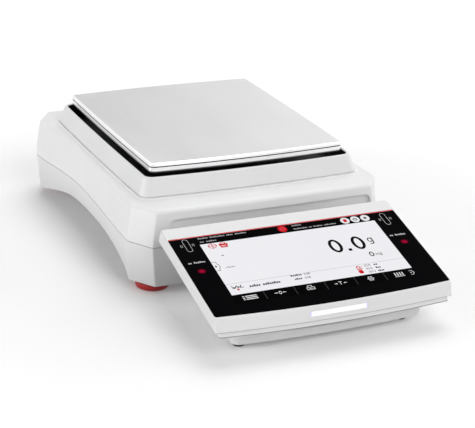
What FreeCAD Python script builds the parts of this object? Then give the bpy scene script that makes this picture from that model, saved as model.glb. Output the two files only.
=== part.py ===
import FreeCAD, Part
import math
import os
from FreeCAD import Vector as V

# Precision balance, millimetres, +Z up, terminal towards -Y.
# Pieces are drawn round the middle of the pan, on the bench at z = 0, and
# are moved together at the end so that the origin is under the middle of
# the whole balance.

# Corners of the housing by name, as signs along X and Y.
corner_names = {"front_left": (-1, -1), "front_right": (1, -1), "rear_left": (-1, 1), "rear_right": (1, 1)}

# Clearances shared by every piece.
fit_gap = 0.3
run_gap = 0.05
stop_gap = 0.6
round_steps = 4

# Housing: two moulded shells that meet on an arched parting line.
housing_depth = 269.0
end_bow = 1.2
end_out = 1.0
rear_half = 112.0
waist_half = 106.0
front_half = 110.5
facet_x = 14.0
facet_y = 20.0
facet_round = 2.0
side_straight = 8.0
waist_rear = 42.0
waist_front = -6.0
shoulder_rear = 82.0
shoulder_front = -74.0
belly_out = 3.0
foot_in = 0.6
housing_top = 72.0
top_round = 3.0
wall = 2.5
floor_thick = 3.0
floor_clear = 7.0
belly_low = 38.0
belly_high = 47.0
part_mid = 42.0
part_rear = 36.5
part_front = 41.0
seam_gap = 0.5
seam_deep = 1.0
arch_high = 27.5
arch_high_y = -48.0
arch_mid = 26.0
arch_mid_y = 5.0
arch_rear = [(108.0, 0.0), (87.0, 0.29), (46.0, 0.76)]
arch_front = [(-77.0, 0.87), (-96.0, 0.60), (-106.0, 0.32), (-111.0, 0.0)]

# Recess across the front of the housing, above the terminal.
recess_left = -85.5
recess_right = 96.5
recess_top = 63.5
recess_high = 16.0
recess_deep = 3.0
recess_round = 6.0

# Opening in the deck for the weighing cone, and the plinth round the ring.
hub_hole_r = 12.0
hub_collar = 2.5
hub_collar_high = 2.0
plinth_high = 1.2
plinth_out = 0.6
plinth_slope = 1.8

# Screws that hold the two shells together.
screw_x = 69.0
screw_y = 121.0
screw_r = 1.5
screw_head_r = 3.0
screw_head_high = 2.4
screw_long = 34.0
screw_sink = 5.0
screw_boss_r = 4.5

# Draft ring that stands on the housing round the pan.
ring_width_top = 189.0
ring_depth_top = 206.0
ring_width_foot = 198.0
ring_depth_foot = 215.0
ring_shift = -1.0
ring_height = 15.3
ring_wall = 3.0
ring_corner = 9.0
ring_edge_round = 1.2
ring_line = 0.8
ring_peg_r = 1.2
ring_peg_long = 3.0
long_bow = 2.8
side_bow = 1.0

# Weighing pan of folded sheet.
pan_width = 175.0
pan_depth = 195.0
pan_height = 98.0
pan_flange = 8.0
pan_sheet = 1.2
pan_corner = 4.5
pan_bend = 1.0
pan_hem = 1.2
pan_hem_high = 3.5
groove_high = 0.5
groove_deep = 0.4
groove_drop = 1.6
groove_half = 82.0

# Pan carrier, its rubber bumpers and the cone that carries it.
carrier_reach_x = 62.0
carrier_reach_y = 72.0
carrier_root = 20.0
carrier_tip = 8.0
carrier_thick = 3.0
carrier_rib = 3.0
carrier_rib_wide = 2.4
carrier_hub_r = 11.0
carrier_hub_high = 6.0
bumper_r = 5.0
bumper_high = 5.0
cone_r_low = 7.0
cone_r_top = 5.5
stem_r = 5.0
stem_z = 32.0
stem_eye_r = 1.8

# Levelling feet: rubber pad, threaded stud, moulded wheel and brass bush.
foot_front_in = 18.5
foot_rear_in = 28.0
foot_end_in = 17.5
foot_stroke = 6.0
wheel_r = 14.0
wheel_high = 5.8
wheel_lift = 0.5
wheel_round = 2.2
pad_r = 9.0
pad_high = 1.6
pad_pin_r = 2.0
pad_pin_high = 2.4
stud_r = 4.0
stud_long = 14.0
stud_hold = 5.0
bush_r = 5.5

# Chassis plate and weighing cell.
chassis_thick = 4.0
chassis_rib = 3.0
chassis_half = 66.0
chassis_front = -70.0
chassis_rear = 94.0
chassis_lift = 2.6
chassis_screw_x = 58.0
chassis_screw_y = 60.0
cell_half = 27.0
cell_base = 5.0
cell_front = -12.0
cell_rear = 92.0
tower_y = 50.0
tower_deep = 12.0
hanger_deep = 12.0
hanger_half = 13.0
hanger_high = 16.2
guide_thick = 2.4
guide_half = 20.0
guide_pivot_y = 40.0
guide_neck_y = 11.5
guide_overhang = 11.0
guide_window_half = 14.0
flexure_thick = 0.8
flexure_wide = 3.0
link_half = 3.0
link_thick = 0.6
link_y = 3.0
lever_half = 5.0
lever_high = 5.0
lever_lift = 9.3
fulcrum_y = 22.0
fulcrum_r = 1.5
post_half = 3.0
post_thick = 4.0
pot_y = 74.0
pot_r = 16.0
pot_wall = 3.0
magnet_r = 7.5
coil_r = 10.0
coil_thick = 1.4
coil_high = 8.0
stop_r = 2.0
stop_x = 10.0
sensor_y = 90.2
sensor_thick = 1.8
sensor_half = 10.0
flag_half = 0.6

# Calibration weight with its screw lifter and motor.
weight_y = -46.0
weight_r = 7.5
weight_half = 24.0
weight_clear = 2.0
fork_x = 11.0
fork_thick = 3.0
fork_high = 8.0
lift_travel = 1.8
saddle_x = 17.0
saddle_thick = 4.0
saddle_bar = 4.0
saddle_half = 6.0
nut_x = 42.0
nut_half = 6.0
nut_high = 9.0
spindle_r = 2.0
motor_r = 8.0
motor_lift = 15.4
motor_high = 13.0
bracket_sheet = 1.5

# Electronics in the rear of the housing.
board_y = 114.0
board_half = 92.0
board_deep = 24.0
board_thick = 1.6
board_lift = 40.0
board_post_x = 84.0
board_post_r = 4.0
port_set_back = 0.3
port_deep = 18.0
jack_x = -80.0
jack_wide = 12.0
jack_high = 11.0
jack_bore_r = 2.9
jack_pin_r = 1.0
lan_x = -56.0
lan_wide = 16.0
lan_high = 13.5
serial_x = -18.0
serial_wide = 31.0
serial_high = 12.6
usb_device_x = 22.0
usb_device_wide = 12.0
usb_device_high = 10.8
usb_host_x = 46.0
usb_host_wide = 14.4
usb_host_high = 7.2
port_wall = 1.0
socket_deep = 9.0

# Spirit level in the rear deck.
level_x = 46.0
level_y = 120.5
level_r = 6.5
level_high = 6.0
level_rim = 1.8
level_rim_high = 0.8

# Cover of the hook opening under the arch.
hook_hole_r = 8.0
cover_r = 11.0
cover_sheet = 1.6
cover_arm = 17.0
cover_pivot_r = 2.0
cover_seat = 1.6

# Terminal head: white case, black glass, panel and bottom cover.
head_width = 202.0
head_gap = 17.8
head_rear_z = 63.9
head_tilt = 14.7
head_long = 114.4
head_bow = 3.6
head_lean = 0.528
head_thick = 10.2
head_wall = 2.0
head_corner = 2.0
head_bevel = 1.0
glass_side = 1.0
glass_front = 1.3
glass_back = 13.6
glass_thick = 1.8
glass_skin = 1.2
cover_thick = 4.0
cover_floor = 2.0
cover_inset = 3.3
cover_front = 1.0
cover_lip = 2.0
cover_lip_thick = 1.5
cover_screw_x = 86.0
cover_screw_back = 9.0
cover_screw_front = 98.0
panel_half = 82.4
panel_back = 7.0
panel_long = 100.0
panel_thick = 4.4
card_half = 55.0
card_back = 28.0
card_long = 62.0
card_thick = 1.6
card_gap = 0.6
card_post_r = 2.5
light_half = 24.6
light_low = 27.5
light_high = 3.5
light_deep = 5.0
light_set_back = 0.15
sensor_eye_x = 88.3
sensor_eye_back = 56.0
sensor_eye_r = 3.0
sensor_eye_high = 4.0

# Terminal stand, its feet, the tilt hinge and the bracket to the housing.
stand_back_set = 22.1
stand_depth = 78.1
stand_half = 77.0
stand_half_rear = 58.0
stand_toe = 5.5
stand_toe_high = 4.0
stand_toe_jut = 1.55
stand_flare = 6.5
stand_flare_high = 21.0
stand_corner = 6.0
stand_wall = 2.4
stand_lift = 3.0
stand_foot_r = 4.5
stand_foot_x = 70.0
stand_foot_rear_x = 47.0
stand_foot_inset = 6.0
stand_foot_sink = 1.0
hinge_back = 16.1
hinge_drop = 7.0
hinge_r = 2.5
knuckle_r = 5.0
knuckle_half = 7.0
knuckle_x = 48.0
knuckle_neck = 3.5
ear_thick = 5.0
tilt_range = 15.0
bracket_half = 38.0
bracket_lift = 4.0
bracket_thick = 3.0
bracket_in_stand = 20.0
bracket_in_housing = 30.0
bracket_screw_x = 26.0
bracket_screw_in = 9.0
bracket_screw_long = 10.0
bracket_head_high = 1.6
bracket_boss_high = 12.0

# Worked out from the sizes above.
front_face = -housing_depth / 2
rear_face = housing_depth / 2
head_rear_y = front_face - head_gap
rear_most = rear_face + end_bow + end_out
tilt_sin = math.sin(math.radians(head_tilt))
tilt_cos = math.cos(math.radians(head_tilt))
head_front = head_rear_y - (head_long + head_lean * head_thick) * tilt_cos + head_thick * tilt_sin
origin_shift = -(head_front + rear_most) / 2
deck_under = housing_top - wall
plinth_top = housing_top + plinth_high
pan_under = pan_height - pan_sheet
carrier_top = pan_under - bumper_high
cone_top = carrier_top
hook_seat_z = arch_mid - cover_seat
chassis_z = arch_high + floor_thick + chassis_lift
chassis_top = chassis_z + chassis_thick
cell_top = chassis_top + cell_base
low_guide_z = cell_top + 1.0
hanger_z = low_guide_z + guide_thick + 0.4
hanger_top = hanger_z + hanger_high
high_guide_z = hanger_top + 0.4
tower_top = high_guide_z - 0.1
lever_z = hanger_z + lever_lift
pot_top = lever_z - 1.6
weight_z = deck_under - weight_clear - weight_r
fork_z = weight_z - weight_r - fork_high + 1.5
motor_z = chassis_top + motor_lift
stand_front_y = head_front + stand_back_set
stand_rear_y = stand_front_y + stand_depth
hinge_y = stand_front_y + hinge_back
card_top = -glass_thick - glass_skin - panel_thick - card_gap
bush_long = foot_stroke + stud_hold


def slab(x0, x1, y0, y1, z0, z1):
    """Block between two corners."""
    return Part.makeBox(x1 - x0, y1 - y0, z1 - z0, V(x0, y0, z0))


def rod(x, y, z, radius, height, axis=V(0, 0, 1)):
    """Round bar from a point along an axis."""
    return Part.makeCylinder(radius, height, V(x, y, z), axis)


def fuse(first, *others):
    """One solid from several that overlap or touch."""
    return first.multiFuse(list(others)).removeSplitter()


def group(*pieces):
    """Separate solids kept in one node."""
    return Part.makeCompound(list(pieces))


def cut(body, *tools):
    """Body less the tools."""
    for tool in tools:
        body = body.cut(tool)
    return body


def mirror_x(shape):
    """The same piece on the other side of the YZ plane."""
    return shape.mirror(V(0, 0, 0), V(1, 0, 0))


def both_sides(x0, x1, y0, y1, z0, z1):
    """Two mirrored blocks, at +X and at -X."""
    block = slab(x0, x1, y0, y1, z0, z1)
    return [block, mirror_x(block)]


def arc3(a, b, c):
    """Arc edge through three points."""
    return Part.Arc(a, b, c).toShape()


def line(a, b):
    """Straight edge."""
    return Part.LineSegment(a, b).toShape()


def loft(*wires):
    """Closed ruled solid through plan outlines."""
    return Part.makeLoft(list(wires), True, True)


def prism(points, direction):
    """Polygon carried along a direction."""
    return Part.Face(Part.makePolygon(points + points[:1])).extrude(direction)


def quarter_round(radius):
    """Inset and depth under the top at each step of a rounded edge, from its foot to its top."""
    turns = [math.radians(90.0 * i / round_steps) for i in range(round_steps + 1)]
    return [(radius * (1 - math.cos(turn)), radius * (1 - math.sin(turn))) for turn in turns]


def corner_arc(a, corner, b, radius):
    """Start, middle and end of the round in the corner a-corner-b."""
    u = (a - corner).normalize()
    w = (b - corner).normalize()
    half = math.acos(max(-1.0, min(1.0, u.dot(w)))) / 2
    reach = radius / math.tan(half)
    bisector = (u + w).normalize()
    centre = corner + bisector * (radius / math.sin(half))
    return corner + u * reach, centre - bisector * radius, corner + w * reach


def bowed_wire(z, corners, bows, radii):
    """Closed plan outline: each side is a shallow arc and each corner a round."""
    count = len(corners)
    points = [V(x, y, z) for x, y in corners]
    rounds = [corner_arc(points[i - 1], points[i], points[(i + 1) % count], radii[i]) for i in range(count)]
    edges = []
    for i in range(count):
        edges.append(arc3(*rounds[i]))
        start = rounds[i][2]
        end = rounds[(i + 1) % count][0]
        if bows[i]:
            along = (points[(i + 1) % count] - points[i]).normalize()
            outward = V(along.y, -along.x, 0)
            middle = (points[i] + points[(i + 1) % count]) * 0.5 + outward * bows[i]
            edges.append(arc3(start, middle, end))
        else:
            edges.append(line(start, end))
    return Part.Wire(edges)


def rectangle_wire(z, half_x, y_front, y_rear, radius, front_bow, rear_bow, side):
    """Bowed rectangle that runs from the front left corner towards +X."""
    corners = [(-half_x, y_front), (half_x, y_front), (half_x, y_rear), (-half_x, y_rear)]
    return bowed_wire(z, corners, [front_bow, side, rear_bow, side], [radius] * 4)


def outline(z, grow, end_grow):
    """Plan of the housing at one height: bowed ends, faceted corners, waisted sides."""
    y_front = front_face - end_grow
    y_rear = rear_face + end_grow
    half_f = front_half + grow
    half_r = rear_half + grow
    half_w = waist_half + grow
    front_start = y_front + facet_y + side_straight
    rear_start = y_rear - facet_y - side_straight
    side = [
        V(half_f, front_start, z),
        V(half_f - (front_half - waist_half) * 0.2, shoulder_front, z),
        V(half_w, waist_front, z),
        V(half_w + 0.1, waist_rear, z),
        V(half_r - (rear_half - waist_half) * 0.3, shoulder_rear, z),
        V(half_r, rear_start, z),
    ]
    right = Part.BSplineCurve()
    right.interpolate(Points=side, InitialTangent=V(0, 1, 0), FinalTangent=V(0, 1, 0))
    left = Part.BSplineCurve()
    left.interpolate(Points=[V(-p.x, p.y, z) for p in reversed(side)],
                     InitialTangent=V(0, -1, 0), FinalTangent=V(0, -1, 0))

    def half_end(y_end, y_turn, y_start, half, bow):
        """Edges from the middle of one end to where the right side starts to bend."""
        nose = V(0, y_end + bow, z)
        near = V(half - facet_x, y_end, z)
        far = V(half, y_turn, z)
        first = corner_arc(nose, near, far, facet_round)
        second = corner_arc(near, far, V(half, y_start, z), facet_round)
        return nose, first, second, V(half, y_start, z)

    def end_edges(parts, sign):
        """The half end as edges, on the right (1) or on the left (-1)."""
        first, second, start = parts[1:]
        flip = [[V(sign * p.x, p.y, z) for p in triple] for triple in (first, second)]
        tail = V(sign * start.x, start.y, z)
        return [arc3(*flip[0]), line(flip[0][2], flip[1][0]), arc3(*flip[1]), line(flip[1][2], tail)]

    front = half_end(y_front, y_front + facet_y, front_start, half_f, -end_bow)
    rear = half_end(y_rear, y_rear - facet_y, rear_start, half_r, end_bow)
    edges = end_edges(front, 1) + [right.toShape()] + end_edges(rear, 1)[::-1]
    edges.append(arc3(rear[1][0], rear[0], V(-rear[1][0].x, rear[1][0].y, z)))
    edges += end_edges(rear, -1) + [left.toShape()] + end_edges(front, -1)[::-1]
    edges.append(arc3(V(-front[1][0].x, front[1][0].y, z), front[0], front[1][0]))
    return Part.Wire(edges)


def yz_region(edges, half_x):
    """Region drawn in the YZ plane, carried across the whole width."""
    face = Part.Face(Part.Wire(edges))
    face.translate(V(-half_x, 0, 0))
    return face.extrude(V(2 * half_x, 0, 0))


def parting_z(y):
    """Height of the parting line, on the arc through its three named heights."""
    arc = arc3(V(0, rear_face, part_rear), V(0, 0, part_mid), V(0, front_face, part_front)).Curve
    centre = arc.Center
    return centre.z + math.sqrt(arc.Radius ** 2 - (y - centre.y) ** 2)


def above_parting(lift):
    """Everything over the parting surface raised by lift."""
    far = rear_face + 30.0
    high = housing_top + 40.0
    ends = [V(0, y, parting_z(y) + lift) for y in (far, 0, -far)]
    return yz_region([arc3(*ends), line(ends[2], V(0, -far, high)), line(V(0, -far, high), V(0, far, high)),
                      line(V(0, far, high), ends[0])], rear_half + 40.0)


def below_arch(lift):
    """Everything under the bridge-shaped underside raised by lift."""
    far = rear_face + 30.0
    rise = arch_high - floor_clear
    low = -20.0
    points = [V(0, y, floor_clear + share * rise + lift) for y, share in arch_rear]
    points += [V(0, arch_mid_y, arch_mid + lift), V(0, arch_high_y, arch_high + lift)]
    points += [V(0, y, floor_clear + share * rise + lift) for y, share in arch_front]
    bridge = Part.BSplineCurve()
    bridge.interpolate(Points=points)
    rear_end = V(0, far, floor_clear + lift)
    front_end = V(0, -far, floor_clear + lift)
    return yz_region([line(rear_end, points[0]), bridge.toShape(), line(points[-1], front_end),
                      line(front_end, V(0, -far, low)), line(V(0, -far, low), V(0, far, low)),
                      line(V(0, far, low), rear_end)], rear_half + 40.0)


def upper_outer(inset, edge_round):
    """Upper housing's outside with a rounded top edge, or the same form drawn in by a wall."""
    belly = belly_out - inset
    ends = end_out - inset
    top = housing_top - inset
    wires = [outline(part_rear - 8.0, belly, ends), outline(belly_high, belly, ends)]
    for edge, drop in quarter_round(edge_round):
        share = drop / (top - belly_high)
        wires.append(outline(top - drop, belly_out * share - inset - edge, end_out * share - inset - edge))
    return loft(*wires)


def lower_outer(inset):
    """Lower housing's outside, or the same form drawn in by a wall."""
    belly = belly_out - inset
    ends = end_out - inset
    return loft(outline(0, -foot_in - inset, -inset), outline(belly_low, belly, ends),
                outline(part_mid + 8.0, belly, ends))


def four(x, y):
    """Plan points of a rectangle's corners."""
    return [(x, y), (-x, y), (x, -y), (-x, -y)]


def port_list():
    """Each rear connector: name, middle, width and height."""
    return [
        ("power_inlet", jack_x, jack_wide, jack_high),
        ("network_port", lan_x, lan_wide, lan_high),
        ("serial_port", serial_x, serial_wide, serial_high),
        ("device_port", usb_device_x, usb_device_wide, usb_device_high),
        ("host_port", usb_host_x, usb_host_wide, usb_host_high),
    ]


def lower_housing():
    """Tray with a bridge-shaped underside, foot blocks, screw wells and mounting posts."""
    outer = lower_outer(0).cut(above_parting(0))
    inner = lower_outer(wall).cut(below_arch(floor_thick))
    shell = outer.cut(below_arch(0)).cut(inner)
    room = lower_outer(0).cut(above_parting(0)).cut(below_arch(0))
    posts = []
    holes = []
    for x, y in [foot_plan(*sides) for sides in corner_names.values()]:
        posts.append(rod(x, y, floor_clear, bush_r + wall, bush_long + 1.0))
        holes.append(rod(x, y, floor_clear - 1.0, bush_r, bush_long + 3.0))
    for x, y in four(screw_x, screw_y):
        posts.append(rod(x, y, floor_clear, screw_boss_r, parting_z(y) - 6.0 - floor_clear))
        holes.append(rod(x, y, floor_clear - 1.0, screw_r + fit_gap, parting_z(y)))
        holes.append(rod(x, y, floor_clear - 1.0, screw_head_r + fit_gap, screw_sink + 1.0))
    for x, y in four(chassis_screw_x, chassis_screw_y):
        posts.append(rod(x, y, floor_clear, screw_boss_r, chassis_z - floor_clear))
        holes.append(rod(x, y, chassis_z - 8.0, screw_r + run_gap, 9.0))
    for x in (-board_post_x, board_post_x):
        posts.append(rod(x, board_y - board_deep / 2 + board_post_r, floor_clear, board_post_r,
                         board_lift - floor_clear))
    for x in (-bracket_screw_x, bracket_screw_x):
        y = front_face + bracket_in_housing - bracket_screw_in
        posts.append(rod(x, y, floor_clear, screw_boss_r, bracket_boss_high))
        holes.append(rod(x, y, floor_clear - 1.0, screw_r + run_gap, bracket_screw_long))
    holes.append(rod(0, 0, hook_seat_z - 1.0, hook_hole_r, floor_thick + 6.0))
    holes.append(rod(0, cover_arm, hook_seat_z - 1.0, cover_pivot_r + run_gap, floor_thick + 6.0))
    seat = prism([V(-cover_r, -cover_r, hook_seat_z), V(cover_r, -cover_r, hook_seat_z),
                  V(cover_r, cover_arm + 6.0, hook_seat_z), V(-cover_r, cover_arm + 6.0, hook_seat_z)],
                 V(0, 0, arch_mid + 1.0 - hook_seat_z))
    body = fuse(shell, seat, *[post.common(room) for post in posts])
    return cut(body, *holes)


def ring_outline(z, share, inset):
    """Draft ring's plan between its foot (0) and its top (1), drawn in by inset."""
    half_x = (ring_width_foot + (ring_width_top - ring_width_foot) * share) / 2 - inset
    half_y = (ring_depth_foot + (ring_depth_top - ring_depth_foot) * share) / 2 - inset
    radius = max(ring_corner - inset, 1.0)
    return rectangle_wire(z, half_x, ring_shift - half_y, ring_shift + half_y, radius,
                          long_bow, long_bow, side_bow)


def plinth():
    """Low step of the deck that the draft ring stands on."""
    return loft(ring_outline(housing_top - 1.0, 0, -plinth_out - plinth_slope * 1.5),
                ring_outline(plinth_top, 0, -plinth_out))


def ring_pegs():
    """Plan points of the draft ring's four locating pegs."""
    middle_y = ring_depth_foot / 2 + long_bow - ring_wall / 2
    middle_x = ring_width_foot / 2 + side_bow - ring_wall / 2
    ends = [(0, ring_shift + side * middle_y) for side in (1, -1)]
    return ends + [(side * middle_x, ring_shift) for side in (1, -1)]


def upper_housing():
    """Cover shell with the deck, plinth, front recess, hub opening and rear port openings."""
    solid = fuse(upper_outer(0, top_round).cut(below_parting()), plinth())
    pocket = recess_shape(0, recess_deep)
    backing = recess_shape(wall, recess_deep + wall)
    inner = upper_outer(wall, top_round - wall).cut(backing)
    shell = solid.cut(inner)
    posts = [rod(x, y, parting_z(y) - 6.0, screw_boss_r, deck_under + 1.0 - parting_z(y) + 6.0)
             for x, y in four(screw_x, screw_y)]
    collar = rod(0, 0, deck_under, hub_hole_r + hub_collar, plinth_top + hub_collar_high - deck_under)
    level_cup = rod(level_x, level_y, housing_top - level_high - wall, level_r + wall, level_high + wall)
    shell = fuse(shell, collar, level_cup, *posts)
    holes = [pocket, seam_groove()]
    holes.append(rod(0, 0, deck_under - 1.0, hub_hole_r, 20.0))
    holes.append(rod(level_x, level_y, housing_top - level_high, level_r + run_gap, level_high + 2.0))
    holes.append(rod(level_x, level_y, housing_top - level_rim_high, level_r + level_rim + run_gap, 5.0))
    for x, y in four(screw_x, screw_y):
        holes.append(rod(x, y, parting_z(y) - 7.0, screw_r + run_gap, 16.0))
    for name, x, wide, high in port_list():
        low = board_lift + board_thick
        half = wide / 2 + fit_gap
        holes.append(slab(x - half, x + half, rear_face - wall - 3.0, rear_most + 1.0,
                          low - fit_gap, low + high + fit_gap))
    for x, y in ring_pegs():
        holes.append(rod(x, y, deck_under - 1.0, ring_peg_r + fit_gap, wall + plinth_high + 2.0))
    return cut(shell, *holes)


def below_parting():
    """Everything under the parting surface."""
    far = rear_face + 30.0
    ends = [V(0, y, parting_z(y)) for y in (far, 0, -far)]
    low = -20.0
    return yz_region([arc3(*ends), line(ends[2], V(0, -far, low)), line(V(0, -far, low), V(0, far, low)),
                      line(V(0, far, low), ends[0])], rear_half + 40.0)


def seam_groove():
    """Fine groove all round the outside, just over the parting line."""
    high = part_mid + seam_gap + 4.0
    low = part_rear - 8.0
    band = loft(outline(low, belly_out + 1.0, end_out + 1.0), outline(high, belly_out + 1.0, end_out + 1.0))
    core = loft(outline(low, belly_out - seam_deep, end_out - seam_deep),
                outline(high, belly_out - seam_deep, end_out - seam_deep))
    return band.cut(core).cut(above_parting(seam_gap)).cut(below_parting())


def recess_shape(grow, deep):
    """Block with four rounded edges that sinks into the front wall."""
    x0 = recess_left - grow
    x1 = recess_right + grow
    z1 = recess_top + grow
    z0 = recess_top - recess_high - grow
    radius = recess_round + grow
    y0 = front_face - 6.0
    y1 = front_face + deep
    box = slab(x0, x1, y0, y1, z0, z1)
    edges = [e for e in box.Edges if abs(e.CenterOfMass.y - (y0 + y1) / 2) < 0.01]
    return box.makeFillet(radius, edges)


def housing_screws():
    """Screws that come up through the lower housing into the posts of the upper one."""
    low = floor_clear + screw_sink
    pieces = []
    for x, y in four(screw_x, screw_y):
        head = rod(x, y, low - screw_head_high, screw_head_r, screw_head_high)
        pieces.append(fuse(head, rod(x, y, low, screw_r, screw_long)))
    return group(*pieces)


def draft_ring():
    """Tapered frame with a shadow line at its foot, a rounded lip and four locating pegs."""
    top = plinth_top + ring_height
    lip = [(edge, top - drop, 1 - drop / ring_height) for edge, drop in quarter_round(ring_edge_round)]
    foot = loft(ring_outline(plinth_top, 0, ring_line), ring_outline(plinth_top + ring_line, 0, ring_line))
    wall = loft(ring_outline(plinth_top + ring_line, ring_line / ring_height, 0),
                *[ring_outline(z, share, edge) for edge, z, share in lip])
    outer = fuse(foot, wall)
    inner = loft(ring_outline(plinth_top - 1.0, -1.0 / ring_height, ring_wall),
                 *[ring_outline(z, share, ring_wall - edge) for edge, z, share in lip],
                 ring_outline(top + 1.0, 1, ring_wall - ring_edge_round))
    frame = outer.cut(inner)
    pegs = [rod(x, y, plinth_top - ring_peg_long, ring_peg_r, ring_peg_long + 1.0) for x, y in ring_pegs()]
    return fuse(frame, *pegs)


def pan_outline(z, inset):
    """Pan's plan: bowed sides and small round corners, drawn in by inset."""
    half_x = pan_width / 2 - inset
    half_y = pan_depth / 2 - inset
    radius = max(pan_corner - inset, 0.8)
    return rectangle_wire(z, half_x, -half_y, half_y, radius, long_bow, long_bow, side_bow)


def pan_plate(low, high, inset):
    """Flat plate of the pan's plan."""
    return Part.Face(pan_outline(low, inset)).extrude(V(0, 0, high - low))


def pan():
    """Folded sheet: flat top, bent flange all round, hemmed edge and cups for the bumpers."""
    low = pan_height - pan_flange
    bend = [pan_outline(pan_height - drop, edge) for edge, drop in quarter_round(pan_bend)]
    block = loft(pan_outline(low, 0), *bend)
    body = block.cut(pan_plate(low - 1.0, pan_under, pan_sheet))
    hem = pan_plate(low, low + pan_hem_high, pan_sheet - 0.1).cut(
        pan_plate(low - 1.0, low + pan_hem_high + 1.0, pan_sheet + pan_hem))
    band_top = pan_height - groove_drop
    band = pan_plate(band_top - groove_high, band_top, -1.0).cut(
        pan_plate(band_top - groove_high - 1.0, band_top + 1.0, groove_deep))
    far = pan_depth
    grooves = band.common(slab(-groove_half, groove_half, -far, far, low, pan_height))
    cup_r = bumper_r + fit_gap
    cups = [rod(x, y, pan_under - 2.0, cup_r + pan_sheet, 2.1).cut(rod(x, y, pan_under - 3.0, cup_r, 3.0))
            for x, y in four(carrier_reach_x, carrier_reach_y)]
    return fuse(body, hem, *cups).cut(grooves)


def pan_carrier():
    """Cast cross of four ribbed arms on a hub that drops over the cone."""
    low = carrier_top - carrier_thick
    pieces = [rod(0, 0, low - carrier_hub_high, carrier_hub_r, carrier_hub_high + carrier_thick)]
    for x, y in four(carrier_reach_x, carrier_reach_y):
        along = V(x, y, 0).normalize()
        side = V(-along.y, along.x, 0)
        root = [side * (carrier_root / 2), side * (-carrier_root / 2)]
        tip = V(x, y, 0)
        plan = [root[0], root[1], tip - side * carrier_tip, tip + side * carrier_tip]
        pieces.append(prism([V(p.x, p.y, low) for p in plan], V(0, 0, carrier_thick)))
        pieces.append(rod(x, y, low, carrier_tip, carrier_thick))
        rib = [side * (carrier_rib_wide / 2), side * (-carrier_rib_wide / 2)]
        rib += [tip - side * (carrier_rib_wide / 2), tip + side * (carrier_rib_wide / 2)]
        pieces.append(prism([V(p.x, p.y, low - carrier_rib) for p in rib], V(0, 0, carrier_rib + 1.0)))
    body = fuse(pieces[0], *pieces[1:])
    slope = (cone_r_low - cone_r_top) / (cone_top - hanger_top)
    base = low - carrier_hub_high - 1.0
    radius = cone_r_top + slope * (cone_top - base) + run_gap
    bore = Part.makeCone(radius, cone_r_top + run_gap, cone_top - base, V(0, 0, base))
    return cut(body, bore)


def pan_bumpers():
    """Four rubber bumpers between the carrier and the pan."""
    places = four(carrier_reach_x, carrier_reach_y)
    return group(*[rod(x, y, carrier_top, bumper_r, bumper_high) for x, y in places])


def foot_plan(side_x, side_y):
    """Plan point of the foot at one corner."""
    reach_x = rear_half - foot_rear_in if side_y > 0 else front_half - foot_front_in
    return side_x * reach_x, side_y * (housing_depth / 2 - foot_end_in)


def foot_bush(x, y):
    """Brass bush in the corner of the lower housing."""
    bore = rod(x, y, floor_clear - 1.0, stud_r + run_gap, bush_long + 2.0)
    return rod(x, y, floor_clear, bush_r, bush_long).cut(bore)


def foot_wheel(x, y):
    """Round moulded wheel with a rolled lower edge and a recess for its pad."""
    top = wheel_lift + wheel_high
    profile = [V(0, 0, top), V(0, 0, wheel_lift)]
    for edge, drop in reversed(quarter_round(wheel_round)):
        profile.append(V(wheel_r - edge, 0, wheel_lift + drop))
    profile += [V(wheel_r, 0, top - fit_gap), V(wheel_r - fit_gap, 0, top)]
    disc = Part.Face(Part.makePolygon(profile + profile[:1])).revolve(V(0, 0, 0), V(0, 0, 1), 360)
    disc.translate(V(x, y, 0))
    recess = rod(x, y, 0, pad_r + fit_gap, pad_high + fit_gap)
    bore = rod(x, y, 0, pad_pin_r + run_gap, pad_high + pad_pin_high + fit_gap)
    return cut(disc, recess, bore)


def foot_stud(x, y):
    """Steel stud that stands on the wheel and screws into the bush."""
    return rod(x, y, wheel_lift + wheel_high, stud_r, stud_long)


def foot_pad(x, y):
    """Rubber pad with a centre pin that the wheel turns on."""
    return fuse(rod(x, y, 0, pad_r, pad_high), rod(x, y, pad_high - 0.5, pad_pin_r, pad_pin_high + 0.5))


def chassis_plate():
    """Die-cast plate with stiffening ribs that carries the weighing cell."""
    plate = slab(-chassis_half, chassis_half, chassis_front, chassis_rear, chassis_z, chassis_top)
    corners = [e for e in plate.Edges if abs(e.CenterOfMass.z - (chassis_z + chassis_top) / 2) < 0.01]
    plate = plate.makeFillet(8.0, corners)
    rib_in = chassis_half - chassis_rib
    ribs = both_sides(rib_in, chassis_half, chassis_front + 12.0, chassis_rear - 12.0,
                      chassis_top - 1.0, chassis_top + 4.0)
    body = fuse(plate, *ribs)
    holes = [rod(x, y, chassis_z - 1.0, screw_r + fit_gap, chassis_thick + 8.0)
             for x, y in four(chassis_screw_x, chassis_screw_y)]
    holes.append(rod(0, 0, chassis_z - 1.0, hook_hole_r, chassis_thick + 2.0))
    return cut(body, *holes)


def chassis_screws():
    """Screws that hold the chassis plate on its posts."""
    pieces = []
    for x, y in four(chassis_screw_x, chassis_screw_y):
        head = rod(x, y, chassis_top, screw_head_r, screw_head_high)
        pieces.append(fuse(head, rod(x, y, chassis_top - 8.0, screw_r, 8.0)))
    return group(*pieces)


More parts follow.
